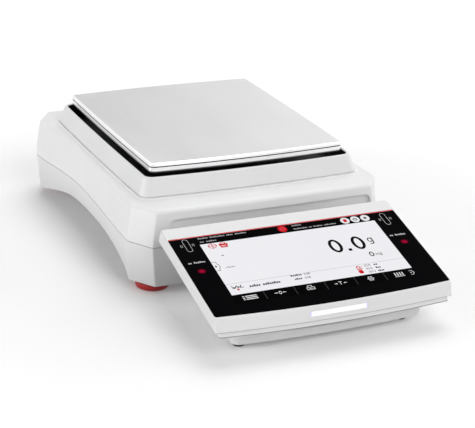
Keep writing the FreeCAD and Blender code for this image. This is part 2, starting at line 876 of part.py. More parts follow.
def cell_frame():
    """Milled body of the cell: base, rear tower, fulcrum posts and the ledge of the lower guide."""
    mid = (chassis_top + cell_top) / 2
    base = slab(-cell_half, cell_half, cell_front, cell_rear, chassis_top, cell_top)
    base = base.makeFillet(3.0, [e for e in base.Edges if abs(e.CenterOfMass.z - mid) < 0.01])
    tower = slab(-cell_half, cell_half, tower_y - tower_deep / 2, tower_y + tower_deep / 2, mid, tower_top)
    ledge = slab(-guide_half, guide_half, guide_pivot_y - 2.0, tower_y, mid, low_guide_z - 0.1)
    post_in = lever_half + fit_gap
    post_top = lever_z + lever_high / 2 + post_half
    posts = both_sides(post_in, post_in + post_thick, fulcrum_y - post_half, fulcrum_y + post_half,
                       mid, post_top)
    body = fuse(base, tower, ledge, *posts)
    window = slab(-lever_half - 3.0, lever_half + 3.0, 0, cell_rear,
                  lever_z - 5.0, lever_z + lever_high + 1.0)
    window = window.common(slab(-cell_half, cell_half, tower_y - tower_deep, tower_y + tower_deep, 0, 200))
    pin_hole = rod(-cell_half, fulcrum_y, lever_z + lever_high / 2, fulcrum_r, 2 * cell_half, V(1, 0, 0))
    hook_hole = rod(0, 0, chassis_top - 1.0, stem_r + 1.5, cell_base + 2.0)
    return cut(body, window, pin_hole, hook_hole)


def guide(low, rear, hole_r):
    """Flat guide with two thinned hinge lines, an open middle and a hole for the hanger."""
    front = -guide_overhang
    high = low + guide_thick
    plate = slab(-guide_half, guide_half, front, rear, low, high)
    skin = (guide_thick - flexure_thick) / 2
    window_y = guide_neck_y + flexure_wide
    cuts = [slab(-guide_window_half, guide_window_half, window_y, guide_pivot_y - 4.0, low - 1.0, high + 1.0)]
    for y in (guide_neck_y, guide_pivot_y):
        for z in (low - 1.0, high - skin):
            cuts.append(slab(-guide_half - 1.0, guide_half + 1.0, y - flexure_wide / 2, y + flexure_wide / 2,
                             z, z + 1.0 + skin))
    cuts.append(rod(0, 0, low - 1.0, hole_r, guide_thick + 2.0))
    return cut(plate, *cuts)


def lower_guide():
    """Guide under the hanger, holed for the stem and the overload stops."""
    holes = [rod(x, 0, low_guide_z - 1.0, stop_r + 1.0, guide_thick + 2.0) for x in (-stop_x, stop_x)]
    return cut(guide(low_guide_z, guide_pivot_y + 3.0, stem_r + 1.0), *holes)


def upper_guide():
    """Guide over the hanger, held on top of the tower."""
    return guide(high_guide_z, tower_y + 2.0, cone_r_low + 1.0)


def load_hanger():
    """Load receiver: hanger block, weighing cone, hook stem, coupling strip and calibration fork."""
    half = hanger_deep / 2
    block = slab(-hanger_half, hanger_half, -half, half, hanger_z, hanger_top)
    slot_z = hanger_z + lever_lift - 3.2
    slot = slab(-lever_half - 2.0, lever_half + 2.0, 0, half + 1.0, slot_z, hanger_top - 1.1)
    strip = slab(-link_half, link_half, link_y - link_thick / 2, link_y + link_thick / 2,
                 slot_z - 1.0, lever_z - fit_gap)
    cone = Part.makeCone(cone_r_low, cone_r_top, cone_top - hanger_top, V(0, 0, hanger_top))
    stem = rod(0, 0, stem_z, stem_r, hanger_z + 1.0 - stem_z)
    eye = rod(-stem_r - 1.0, 0, stem_z + 4.0, stem_eye_r, 2 * stem_r + 2.0, V(1, 0, 0))
    fork_end = weight_y - weight_r - 0.5
    fork = both_sides(fork_x, fork_x + fork_thick, fork_end, -half + 1.0, fork_z, fork_z + fork_high)
    cradle = rod(-hanger_half - 3.0, weight_y, weight_z - 1.5, weight_r + 0.5,
                 2 * hanger_half + 6.0, V(1, 0, 0))
    body = fuse(block.cut(slot), strip, cone, stem, *[arm.cut(cradle) for arm in fork])
    return cut(body, eye)


def weighing_lever():
    """Transmission lever on the fulcrum pin, with the coil disc and the sensor flag."""
    beam = slab(-lever_half, lever_half, 2.0, pot_y, lever_z, lever_z + lever_high)
    disc = rod(0, pot_y, lever_z, coil_r + coil_thick + 0.6, lever_high)
    flag_z = lever_z + lever_high / 2
    flag = slab(-flag_half, flag_half, pot_y, sensor_y - fit_gap, flag_z - 1.2, flag_z + 1.2)
    body = fuse(beam, disc, flag)
    bore = rod(-lever_half - 1.0, fulcrum_y, flag_z, fulcrum_r + run_gap, 2 * lever_half + 2.0, V(1, 0, 0))
    slots = [rod(0, pot_y + reach, lever_z - 1.0, 2.4, lever_high + 2.0) for reach in (-6.0, 6.0)]
    return cut(body, bore, *slots)


def lever_pin():
    """Fulcrum pin of the lever, held in the two posts."""
    half = lever_half + fit_gap + post_thick
    return rod(-half, fulcrum_y, lever_z + lever_high / 2, fulcrum_r, 2 * half, V(1, 0, 0))


def magnet_pot():
    """Soft-iron pot with the ring gap that the coil hangs in."""
    pot = rod(0, pot_y, cell_top, pot_r, pot_top - cell_top)
    return pot.cut(rod(0, pot_y, cell_top + pot_wall, pot_r - pot_wall, pot_top))


def magnet():
    """Magnet with its pole disc in the middle of the pot."""
    return rod(0, pot_y, cell_top + pot_wall, magnet_r, pot_top - cell_top - pot_wall - 1.0)


def coil():
    """Wound coil on its former, under the lever's disc."""
    low = lever_z - coil_high
    bore = rod(0, pot_y, low - 1.0, coil_r, coil_high + 2.0)
    return rod(0, pot_y, low, coil_r + coil_thick, coil_high).cut(bore)


def position_sensor():
    """Small upright board with the two prongs that read the lever's flag."""
    mid = lever_z + lever_high / 2
    card = slab(-sensor_half, sensor_half, sensor_y, sensor_y + sensor_thick, cell_top, mid + 3.0)
    prongs = both_sides(2.0, 5.0, sensor_y - 3.5, sensor_y + 1.0, mid - 2.5, mid + 2.5)
    return fuse(card, *prongs)


def overload_stops():
    """Two hard stops under the hanger."""
    return group(*[rod(x, 0, cell_top, stop_r, hanger_z - 0.4 - cell_top) for x in (-stop_x, stop_x)])


def cal_weight():
    """Built-in calibration weight, a polished steel roll."""
    roll = rod(-weight_half, weight_y, weight_z, weight_r, 2 * weight_half, V(1, 0, 0))
    ends = [e for e in roll.Edges if abs(abs(e.CenterOfMass.x) - weight_half) < 0.01]
    return roll.makeChamfer(0.8, ends)


def cal_lifter():
    """Crossbar with two saddles that hold the weight clear and a nut block on the spindle."""
    front = weight_y - saddle_half
    rear = weight_y + saddle_half
    low = chassis_top + lift_travel + 1.1
    bar = slab(-saddle_x - saddle_thick, nut_x + nut_half, front, rear, low, low + saddle_bar)
    saddles = both_sides(saddle_x, saddle_x + saddle_thick, front, rear, low, weight_z - 3.0)
    nut = slab(nut_x - nut_half, nut_x + nut_half, front, rear, low, low + nut_high)
    body = fuse(bar, nut, *saddles)
    seat = rod(-weight_half, weight_y, weight_z, weight_r + run_gap, 2 * weight_half, V(1, 0, 0))
    bore = rod(nut_x, weight_y, low - 1.0, spindle_r + run_gap, nut_high + 2.0)
    return cut(body, seat, bore)


def cal_spindle():
    """Lead screw that the motor turns."""
    low = chassis_top + fit_gap
    return rod(nut_x, weight_y, low, spindle_r, motor_z + 6.0 - low)


def cal_motor():
    """Small geared motor over the spindle."""
    body = rod(nut_x, weight_y, motor_z, motor_r, motor_high)
    return body.cut(rod(nut_x, weight_y, motor_z - 1.0, spindle_r + run_gap, 8.0))


def motor_bracket():
    """Bent sheet that holds the motor over the chassis plate."""
    front = weight_y - motor_r - 2.0
    rear = weight_y + motor_r + 2.0
    side = nut_x + motor_r + 2.5
    top = slab(nut_x - motor_r, side + bracket_sheet, front, rear, motor_z - bracket_sheet, motor_z)
    web = slab(side, side + bracket_sheet, front, rear, chassis_top, motor_z)
    foot = slab(side, side + 8.0, front, rear, chassis_top, chassis_top + bracket_sheet)
    return cut(fuse(top, web, foot), rod(nut_x, weight_y, motor_z - 3.0, spindle_r + 1.0, 5.0))


def main_board():
    """Circuit board across the rear, with its larger parts."""
    rear = board_y + board_deep / 2
    front = board_y - board_deep / 2
    top = board_lift + board_thick
    board = slab(-board_half, board_half, front, rear, board_lift, top)
    board = cut(board, *[rod(x, screw_y, board_lift - 1.0, screw_boss_r + fit_gap, board_thick + 2.0)
                         for x in (-screw_x, screw_x)])
    chips = [slab(x, x + 14.0, front + 2.0, front + 12.0, top, top + 1.6) for x in (-64.0, -34.0, 18.0, 40.0)]
    cans = [rod(x, front + 7.0, top, 4.0, 9.0) for x in (-80.0, -8.0, 4.0)]
    return fuse(board, *chips, *cans)


def port_body(x, wide, high):
    """Block of one connector on the edge of the board."""
    low = board_lift + board_thick
    face = rear_face - port_set_back
    return slab(x - wide / 2, x + wide / 2, face - port_deep, face, low, low + high)


def socket_cut(x, half_x, half_z, deep):
    """Pocket in a connector's face, half_x wide and half_z high each way."""
    return slab(x - half_x, x + half_x, rear_face - port_set_back - deep, rear_face + 1.0, -half_z, half_z)


def power_inlet():
    """Round low-voltage inlet with its centre pin."""
    face = rear_face - port_set_back
    mid = board_lift + board_thick + jack_high / 2
    block = port_body(jack_x, jack_wide, jack_high)
    bore = rod(jack_x, face - socket_deep, mid, jack_bore_r, socket_deep + 1.0, V(0, 1, 0))
    pin = rod(jack_x, face - socket_deep - 1.0, mid, jack_pin_r, socket_deep, V(0, 1, 0))
    return fuse(block.cut(bore), pin)


def network_port():
    """Modular socket with its latch notch."""
    mid = board_lift + board_thick + lan_high / 2
    block = port_body(lan_x, lan_wide, lan_high)
    mouth = socket_cut(lan_x, 5.9, 4.2, socket_deep + 3.0)
    notch = socket_cut(lan_x, 3.0, 6.0, socket_deep)
    return cut(block, mouth.translated(V(0, 0, mid)), notch.translated(V(0, 0, mid)))


def serial_port():
    """Nine-pole D socket with its two jack posts."""
    face = rear_face - port_set_back
    mid = board_lift + board_thick + serial_high / 2
    block = port_body(serial_x, serial_wide, serial_high)

    def trapezoid(grow, y0, y1):
        """D-shaped prism."""
        plan = [(-9.0 - grow, 4.2 + grow), (9.0 + grow, 4.2 + grow)]
        plan += [(7.6 + grow, -4.2 - grow), (-7.6 - grow, -4.2 - grow)]
        return prism([V(serial_x + x, y0, mid + z) for x, z in plan], V(0, y1 - y0, 0))

    block = block.cut(trapezoid(0, face - 6.0, face + 1.0))
    insert = trapezoid(-0.9, face - 6.5, face - 0.4)
    wells = [rod(serial_x + side * 12.5, face - 4.0, mid, 1.4, 5.0, V(0, 1, 0)) for side in (-1, 1)]
    return cut(fuse(block, insert), *wells)


def usb_port(x, wide, high, wall_thick, tongue_half, tongue_thick):
    """Rectangular socket with a tongue."""
    mid = board_lift + board_thick + high / 2
    block = port_body(x, wide, high)
    mouth = socket_cut(x, wide / 2 - wall_thick, high / 2 - wall_thick, socket_deep).translated(V(0, 0, mid))
    face = rear_face - port_set_back
    tongue = slab(x - tongue_half, x + tongue_half, face - socket_deep - 1.0, face - 1.0,
                  mid - tongue_thick / 2, mid + tongue_thick / 2)
    return fuse(block.cut(mouth), tongue)


def device_port():
    """Square device socket."""
    return usb_port(usb_device_x, usb_device_wide, usb_device_high, port_wall + 0.8, 2.8, 3.2)


def host_port():
    """Flat host socket."""
    return usb_port(usb_host_x, usb_host_wide, usb_host_high, port_wall, 5.4, 1.8)


def level_vial():
    """Closed round spirit level."""
    return rod(level_x, level_y, housing_top - level_high, level_r, level_high - level_rim_high)


def level_bezel():
    """Ring that holds the level in the deck."""
    low = housing_top - level_rim_high
    ring = rod(level_x, level_y, low, level_r + level_rim, level_rim_high + 0.4)
    return ring.cut(rod(level_x, level_y, low - 1.0, level_r - 1.0, level_rim_high + 3.0))


def hook_cover():
    """Swivelling cover of the hook opening, on its own pivot."""
    high = hook_seat_z - fit_gap
    low = high - cover_sheet
    arm = slab(-5.0, 5.0, 0, cover_arm, low, high)
    body = fuse(rod(0, 0, low, cover_r, cover_sheet), arm, rod(0, cover_arm, low, 5.0, cover_sheet),
                rod(0, cover_arm, low, cover_pivot_r, hook_seat_z + floor_thick + 1.0 - low))
    return cut(body, slab(-4.0, 4.0, -8.0, -6.0, low - 1.0, low + 0.7))


def head_place(shape):
    """Turn a piece drawn flat to the slope of the terminal and set it in its place."""
    shape = shape.copy()
    shape.rotate(V(0, 0, 0), V(1, 0, 0), head_tilt)
    shape.translate(V(0, head_rear_y, head_rear_z))
    return shape


def head_wire(z, side, front, rear):
    """Plan of the terminal at a depth under its face, drawn in by three insets."""
    y_front = -(head_long - head_bow) + head_lean * z + front
    return rectangle_wire(z, head_width / 2 - side, y_front, -rear, head_corner, head_bow, 0, 0)


def head_block(top, bottom, side, front, rear):
    """Terminal-shaped solid between two depths, drawn in by three insets."""
    return loft(head_wire(bottom, side, front, rear), head_wire(top, side, front, rear))


def light_slab(grow, inset):
    """Bar-shaped volume through the terminal's front wall."""
    half = light_half + grow
    rear = head_front + head_bow + light_deep + grow
    bar = slab(-half, half, head_front - 5.0, rear, light_low - grow, light_low + light_high + grow)
    return bar.common(head_place(head_block(0, -head_thick, inset, inset, inset)))


def cover_screw_plan():
    """Plan points of the screws of the terminal's cover."""
    return [(side * cover_screw_x, y) for side in (-1, 1) for y in (-cover_screw_back, -cover_screw_front)]


def terminal_case():
    """White case: sloping front with a bevelled edge, glass seat, panel window and screw posts."""
    inner_top = -glass_thick - glass_skin
    outer = fuse(head_block(-head_bevel, -head_thick, 0, 0, 0),
                 loft(head_wire(-head_bevel, 0, 0, 0), head_wire(0, 0.4, head_bevel, 0.4)))
    room = head_block(inner_top, -head_thick - 1.0, head_wall, head_wall, head_wall)
    seat = head_block(1.0, -glass_thick, glass_side - run_gap, glass_front - run_gap, glass_back - run_gap)
    window = slab(-panel_half + 5.0, panel_half - 5.0, -panel_back - panel_long + 7.0, -glass_back,
                  inner_top - 1.0, 1.0)
    shell = cut(outer, room, seat, window)
    posts = [rod(x, y, -head_thick, 3.2, head_thick + inner_top + 0.5) for x, y in cover_screw_plan()]
    shell = fuse(shell, *posts)
    pilots = [rod(x, y, -head_thick - 1.0, 1.25, 8.0) for x, y in cover_screw_plan()]
    eyes = [rod(side * sensor_eye_x, -sensor_eye_back, inner_top - 1.0, sensor_eye_r + run_gap, 3.0)
            for side in (-1, 1)]
    return head_place(cut(shell, *pilots, *eyes)).cut(light_slab(run_gap, -1.0))


def display_glass():
    """Flat black glass flush in the case."""
    return head_place(head_block(0, -glass_thick, glass_side, glass_front, glass_back))


def display_panel():
    """Display module under the glass."""
    top = -glass_thick - glass_skin
    front = -panel_back - panel_long
    return head_place(slab(-panel_half, panel_half, front, -panel_back, top - panel_thick, top))


def display_board():
    """Circuit board of the terminal."""
    board = slab(-card_half, card_half, -card_back - card_long, -card_back, card_top - card_thick, card_top)
    chips = [slab(x, x + 12.0, -card_back - 40.0, -card_back - 28.0, card_top, card_top + 0.4)
             for x in (-40.0, -6.0, 24.0)]
    return head_place(fuse(board, *chips))


def light_bar():
    """Clear light bar in the front wall."""
    return light_slab(0, light_set_back)


def proximity_sensors():
    """Two touch-free sensors under the glass."""
    top = -glass_thick
    return group(*[head_place(rod(side * sensor_eye_x, -sensor_eye_back, top - sensor_eye_high, sensor_eye_r,
                                  sensor_eye_high)) for side in (-1, 1)])


def hinge_z():
    """Height of the tilt axis under the terminal's cover."""
    depth = -head_thick - cover_thick
    along = (hinge_y - head_rear_y + depth * tilt_sin) / tilt_cos
    return head_rear_z + along * tilt_sin + depth * tilt_cos - hinge_drop


def terminal_cover():
    """Bottom cover: floor with a locating lip, board posts, screw wells and two hinge knuckles."""
    top = -head_thick
    low = top - cover_thick
    block = head_block(top, low, cover_inset, cover_front, cover_inset)
    room = head_block(top + 1.0, low + cover_floor, cover_inset + cover_floor, cover_front + cover_floor,
                      cover_inset + cover_floor)
    gap = head_wall + fit_gap
    inside = gap + cover_lip_thick
    lip = head_block(top + cover_lip, low + cover_floor, gap, gap, gap).cut(
        head_block(top + cover_lip + 1.0, low + cover_floor - 1.0, inside, inside, inside))
    lip = lip.common(head_block(top + cover_lip, low, cover_inset, cover_front, cover_inset))
    posts = [rod(x, y, low + 1.0, card_post_r, card_top - card_thick - low - 1.0)
             for x in (-card_half + 6.0, card_half - 6.0)
             for y in (-card_back - 6.0, -card_back - card_long + 6.0)]
    wells = [rod(x, y, low + 1.0, 4.4, cover_thick - 1.0) for x, y in cover_screw_plan()]
    tray = fuse(block.cut(room), lip, *posts, *wells)
    holes = [rod(x, y, low - 1.0, 1.25 + fit_gap, 8.0) for x, y in cover_screw_plan()]
    holes += [rod(x, y, low - 1.0, 2.4 + fit_gap, 2.6) for x, y in cover_screw_plan()]
    cuts = [rod(x, y, top, 3.2 + fit_gap, cover_lip + 1.0) for x, y in cover_screw_plan()]
    body = head_place(cut(tray, *holes, *cuts))
    z = hinge_z()
    necks = []
    bores = []
    for x in (-knuckle_x, knuckle_x):
        necks.append(rod(x - knuckle_half, hinge_y, z, knuckle_r, 2 * knuckle_half, V(1, 0, 0)))
        necks.append(slab(x - knuckle_half, x + knuckle_half, hinge_y - knuckle_neck, hinge_y + knuckle_neck,
                          z, z + hinge_drop + 1.2))
        bores.append(rod(x - knuckle_half - 1.0, hinge_y, z, hinge_r + run_gap,
                         2 * knuckle_half + 2.0, V(1, 0, 0)))
    return cut(fuse(body, *necks), *bores)


def cover_screws():
    """Screws of the terminal's cover."""
    low = -head_thick - cover_thick
    pieces = []
    for x, y in cover_screw_plan():
        pieces.append(head_place(fuse(rod(x, y, low, 2.4, 1.6), rod(x, y, low + 1.6, 1.2, 8.0))))
    return group(*pieces)


def stand_wire(z, inset, flare):
    """Plan of the stand, wider at its front, drawn in by inset and flared."""
    half_f = stand_half - inset + flare
    half_r = stand_half_rear - inset + flare
    front = stand_front_y + inset - flare * stand_toe_jut
    rear = stand_rear_y - inset
    corners = [(-half_f, front), (half_f, front), (half_r, rear), (-half_r, rear)]
    radius = max(stand_corner - inset, 1.0)
    return bowed_wire(z, corners, [3.0, 0, 0, 0], [radius] * 4)


def stand_solid(inset):
    """Stand with no top cut: a toe juts out over the front feet, then the walls go nearly upright."""
    low = stand_lift + inset
    toe = stand_lift + stand_toe_high + 0.6 * inset
    top = stand_lift + stand_flare_high
    return loft(stand_wire(low, inset, 0), stand_wire(toe, inset, stand_toe),
                stand_wire(top, inset, stand_flare), stand_wire(top + 30.0, inset, stand_flare))


def under_head(turn):
    """Half space that the terminal's cover takes up at one turn of the tilt hinge."""
    block = head_place(slab(-150.0, 150.0, -200.0, 60.0, -head_thick - cover_thick - stop_gap, 60.0))
    block.rotate(V(0, hinge_y, hinge_z()), V(1, 0, 0), turn)
    return block


def stand_feet_plan():
    """Plan points of the stand's rubber feet."""
    front = stand_front_y + stand_foot_inset
    rear = stand_rear_y - stand_foot_inset - stand_foot_r / 2
    ends = [(side * stand_foot_x, front) for side in (-1, 1)]
    return ends + [(side * stand_foot_rear_x, rear) for side in (-1, 1)]


def bracket_ends():
    """Front and rear end of the bracket."""
    return stand_rear_y - bracket_in_stand, front_face + bracket_in_housing


def terminal_stand():
    """Open shell under the terminal, with hinge ears and a slot for the bracket."""
    shell = stand_solid(0).cut(stand_solid(stand_wall))
    shell = cut(shell, under_head(0), under_head(tilt_range))
    floor = stand_lift + stand_wall / 2
    z = hinge_z()
    ears = []
    for x in (-knuckle_x, knuckle_x):
        for side in (-1, 1):
            start = x + side * (knuckle_half + fit_gap) - (ear_thick if side < 0 else 0)
            ears.append(rod(start, hinge_y, z, knuckle_r, ear_thick, V(1, 0, 0)))
            ears.append(slab(start, start + ear_thick, hinge_y - knuckle_r, hinge_y + knuckle_r, floor, z))
    shell = fuse(shell, *ears)
    front, rear = bracket_ends()
    holes = [slab(-bracket_half - fit_gap, bracket_half + fit_gap, front - fit_gap, rear, bracket_lift,
                  bracket_lift + bracket_thick + fit_gap)]
    for x in (-knuckle_x, knuckle_x):
        reach = knuckle_half + fit_gap + ear_thick
        holes.append(rod(x - reach, hinge_y, z, hinge_r, 2 * reach, V(1, 0, 0)))
    for x, y in stand_feet_plan():
        holes.append(rod(x, y, stand_lift - 1.0, stand_foot_r, stand_foot_sink + 1.0))
    for x in (-bracket_screw_x, bracket_screw_x):
        holes.append(rod(x, front + bracket_screw_in, 0, screw_r + fit_gap, bracket_lift + 1.0))
    return cut(shell, *holes)


def stand_feet():
    """Four rubber feet of the stand."""
    return group(*[rod(x, y, 0, stand_foot_r, stand_lift + stand_foot_sink) for x, y in stand_feet_plan()])


def hinge_pins():
    """Two pins of the tilt hinge."""
    reach = knuckle_half + fit_gap + ear_thick
    return group(*[rod(x - reach, hinge_y, hinge_z(), hinge_r, 2 * reach, V(1, 0, 0))
                   for x in (-knuckle_x, knuckle_x)])


def terminal_bracket():
    """Flat steel bracket from the stand to the underside of the housing."""
    front, rear = bracket_ends()
    top = bracket_lift + bracket_thick
    plate = slab(-bracket_half, bracket_half, front, rear, bracket_lift, top)
    middle = (bracket_lift + top) / 2
    plate = plate.makeFillet(4.0, [e for e in plate.Edges if abs(e.CenterOfMass.z - middle) < 0.01])
    bosses = [rod(x, front + bracket_screw_in, top - 1.0, 3.5, 4.0)
              for x in (-bracket_screw_x, bracket_screw_x)]
    slot = slab(-bracket_half + 14.0, bracket_half - 14.0, stand_rear_y + 4.0, front_face - 4.0, 0, 20.0)
    holes = []
    for x in (-bracket_screw_x, bracket_screw_x):
        holes.append(rod(x, front + bracket_screw_in, 0, screw_r, 20.0))
        holes.append(rod(x, rear - bracket_screw_in, 0, screw_r + fit_gap, 20.0))
    return cut(fuse(plate, *bosses), slot, *holes)


def bracket_screws():
    """Four screws of the bracket, two into the housing and two through the stand's floor."""
    front, rear = bracket_ends()
    pieces = []
    for x in (-bracket_screw_x, bracket_screw_x):
        high = bracket_head_high
        head = rod(x, rear - bracket_screw_in, bracket_lift - high, screw_head_r, high)
        pieces.append(fuse(head, rod(x, rear - bracket_screw_in, bracket_lift, screw_r, bracket_screw_long)))
        head = rod(x, front + bracket_screw_in, stand_lift - high, screw_head_r, high)
        pieces.append(fuse(head, rod(x, front + bracket_screw_in, stand_lift, screw_r, 6.5)))
    return group(*pieces)


def all_pieces():
    """Every piece of the balance by name."""
    pieces = {
        "lower_housing": lower_housing(),
        "upper_housing": upper_housing(),
        "housing_screws": housing_screws(),
        "draft_ring": draft_ring(),
        "pan": pan(),
        "pan_carrier": pan_carrier(),
        "pan_bumpers": pan_bumpers(),
        "foot_bushes": group(*[foot_bush(*foot_plan(*sides)) for sides in corner_names.values()]),
        "chassis_plate": chassis_plate(),
        "chassis_screws": chassis_screws(),
        "cell_frame": cell_frame(),
        "lower_guide": lower_guide(),
        "upper_guide": upper_guide(),
        "load_hanger": load_hanger(),
        "weighing_lever": weighing_lever(),
        "lever_pin": lever_pin(),
        "magnet_pot": magnet_pot(),
        "magnet": magnet(),
        "coil": coil(),
        "position_sensor": position_sensor(),
        "overload_stops": overload_stops(),
        "cal_weight": cal_weight(),
        "cal_lifter": cal_lifter(),
        "cal_spindle": cal_spindle(),
        "cal_motor": cal_motor(),
        "motor_bracket": motor_bracket(),
        "main_board": main_board(),
        "power_inlet": power_inlet(),
        "network_port": network_port(),
        "serial_port": serial_port(),
        "device_port": device_port(),
        "host_port": host_port(),
        "level_vial": level_vial(),
        "level_bezel": level_bezel(),
        "hook_cover": hook_cover(),
        "terminal_case": terminal_case(),
        "display_glass": display_glass(),
        "display_panel": display_panel(),
        "display_board": display_board(),
        "light_bar": light_bar(),
        "proximity_sensors": proximity_sensors(),
        "terminal_cover": terminal_cover(),
        "cover_screws": cover_screws(),
        "terminal_stand": terminal_stand(),
        "stand_feet": stand_feet(),
        "hinge_pins": hinge_pins(),
        "terminal_bracket": terminal_bracket(),
        "bracket_screws": bracket_screws(),
    }
    for name, sides in corner_names.items():
        pieces["foot_pad_" + name] = foot_pad(*foot_plan(*sides))
        pieces["foot_wheel_" + name] = foot_wheel(*foot_plan(*sides))
        pieces["foot_stud_" + name] = foot_stud(*foot_plan(*sides))
    return pieces


def write_pieces():
    """Move the pieces to the frame's origin and write one file each."""
    os.makedirs("parts", exist_ok=True)
    for name, shape in all_pieces().items():
        shape.translate(V(0, origin_shift, 0))
        shape.exportStep("parts/" + name + ".step")


write_pieces()
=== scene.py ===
import math
import bmesh
import bpy
import numpy as np
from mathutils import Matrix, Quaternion, Vector


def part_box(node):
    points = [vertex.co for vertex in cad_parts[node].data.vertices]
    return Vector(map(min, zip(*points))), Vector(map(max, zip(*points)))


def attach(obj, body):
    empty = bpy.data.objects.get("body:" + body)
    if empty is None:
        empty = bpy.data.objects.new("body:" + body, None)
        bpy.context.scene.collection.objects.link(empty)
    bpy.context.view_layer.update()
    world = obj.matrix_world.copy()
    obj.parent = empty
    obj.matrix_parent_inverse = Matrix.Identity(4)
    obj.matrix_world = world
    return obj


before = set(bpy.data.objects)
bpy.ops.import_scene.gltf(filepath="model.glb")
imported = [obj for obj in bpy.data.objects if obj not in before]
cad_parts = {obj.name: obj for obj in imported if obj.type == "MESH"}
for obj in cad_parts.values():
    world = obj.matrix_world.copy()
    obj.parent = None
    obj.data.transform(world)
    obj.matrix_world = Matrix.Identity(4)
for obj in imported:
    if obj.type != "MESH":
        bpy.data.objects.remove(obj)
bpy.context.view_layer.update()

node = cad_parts
mm = 0.001

# The two housing shells are moulded in white ABS with a very fine spark-eroded grain.
# The upper one carries the deck and the plinth, the lower one is the arched tray, and
# both meet on a thin shadow line. Screws from below pull them together.


class Signal:
    """One output of a shader node. Arithmetic on it adds Math nodes, and mix() blends colours."""

    def __init__(self, paint, socket):
        self.paint = paint
        self.socket = socket

    def math(self, operation, *others):
        """One Math node with this signal as its first value."""
        values = {0: self}
        values.update({i + 1: other for i, other in enumerate(others)})
        return self.paint.node("Math", {"operation": operation}, values).out()

    def __add__(self, other):
        return self.math("ADD", other)

    def __sub__(self, other):
        return self.math("SUBTRACT", other)

    def __mul__(self, other):
        return self.math("MULTIPLY", other)

    def __truediv__(self, other):
        return self.math("DIVIDE", other)

    def __rsub__(self, other):
        return self.paint.node("Math", {"operation": "SUBTRACT"}, {0: other, 1: self}).out()

    __radd__ = __add__
    __rmul__ = __mul__

    def step(self, low, high, start=0.0, end=1.0):
        """Smooth ramp from start to end while the signal goes from low to high."""
        values = {"Value": self, "From Min": low, "From Max": high, "To Min": start, "To Max": end}
        return self.paint.node("MapRange", {"interpolation_type": "SMOOTHSTEP"}, values).out("Result")

    def absolute(self):
        """The signal without its sign."""
        return self.math("ABSOLUTE")

    def band(self, low, high, soft):
        """One between low and high, and nothing outside, with soft ends."""
        return self.step(low - soft, low + soft) * self.step(high - soft, high + soft, 1.0, 0.0)


class MadeNode:
    """A node in a material, whose outputs are read by name."""

    def __init__(self, paint, made):
        self.paint = paint
        self.made = made

    def out(self, name=0):
        """One output as a signal."""
        return Signal(self.paint, self.made.outputs[name])


class Paint:
    """A material in the making: constants are set on its shader, and patterns are linked to it."""

    def __init__(self, name, **constants):
        self.material = bpy.data.materials.new(name)
        self.material.use_nodes = True
        self.tree = self.material.node_tree
        self.shader = self.tree.nodes["Principled BSDF"]
        for socket, value in constants.items():
            self.shader.inputs[socket.replace("_", " ")].default_value = value
        self.place = self.node("TexCoord").out("Object")

    def node(self, kind, settings=None, values=None):
        """One shader node: its settings first, then the values or links of its sockets."""
        made = self.tree.nodes.new("ShaderNode" + kind)
        for key, value in (settings or {}).items():
            setattr(made, key, value)
        for key, value in (values or {}).items():
            self.put(made.inputs[key], value)
        return MadeNode(self, made)

    def put(self, socket, value):
        """Link a signal to a socket, or set the socket's own value."""
        if isinstance(value, Signal):
            self.tree.links.new(value.socket, socket)
        else:
            socket.default_value = value

    def feed(self, **signals):
        """Link signals to the shader's sockets."""
        for name, value in signals.items():
            self.put(self.shader.inputs[name.replace("_", " ")], value)
        return self

    def noise(self, size, detail=2.0, stretch=(1, 1, 1), rough=0.5):
        """Noise whose blobs are about size metres wide, drawn out along the axes by stretch."""
        scale = [1 / (size * s) for s in stretch]
        place = self.node("Mapping", {}, {"Vector": self.place, "Scale": scale}).out("Vector")
        values = {"Vector": place, "Scale": 1.0, "Detail": detail, "Roughness": rough}
        return self.node("TexNoise", {}, values).out("Fac")

    def mix(self, first, second, share):
        """Colour between two colours or signals."""
        values = {0: share, 6: first, 7: second}
        return Signal(self, self.node("Mix", {"data_type": "RGBA"}, values).made.outputs[2])

    def axes(self):
        """The place's X, Y and Z as signals."""
        parts = self.node("SeparateXYZ", {}, {0: self.place})
        return [parts.out(name) for name in "XYZ"]

    def relief(self, height, depth, edge=0.0):
        """Bump from a height signal, over normals rounded at edges to the given radius."""
        values = {"Height": height, "Strength": 1.0, "Distance": depth}
        if edge:
            values["Normal"] = self.node("Bevel", {"samples": 4}, {"Radius": edge}).out("Normal")
        return self.feed(Normal=self.node("Bump", {}, values).out("Normal"))


def rgba(red, green, blue):
    """Opaque colour."""
    return (red, green, blue, 1.0)


def dress(paint, *names):
    """Give CAD nodes a material."""
    for name in names:
        node[name].data.materials.clear()
        node[name].data.materials.append(paint.material)


def moulded(name, colour, rough, grain=0.35 * mm, depth=0.012 * mm, edge=0.5 * mm, coat=0.0, shade=None):
    """Moulded plastic: one colour that wanders a little, a fine grain and softened edges.

    shade, where given, is called with the material and its tone, and gives the tone to use.
    """
    paint = Paint(name, Specular_IOR_Level=0.5, Coat_Weight=coat, Coat_Roughness=0.15)
    wander = paint.noise(60 * mm)
    darker = rgba(*[c * 0.975 for c in colour])
    tone = paint.mix(rgba(*colour), darker, wander.step(0.35, 0.65))
    paint.feed(Base_Color=shade(paint, tone) if shade else tone)
    fine = paint.noise(grain, 3.0)
    paint.feed(Roughness=rough + 0.06 * (fine - 0.5) + 0.04 * (wander - 0.5))
    return paint.relief(fine, depth, edge)


def tray_painted_shade(paint, tone):
    """Painted shade: a little greyer from the parting line down to the tray's foot."""
    return paint.mix(rgba(0.66, 0.66, 0.662), tone, paint.axes()[2].step(6 * mm, 44 * mm))


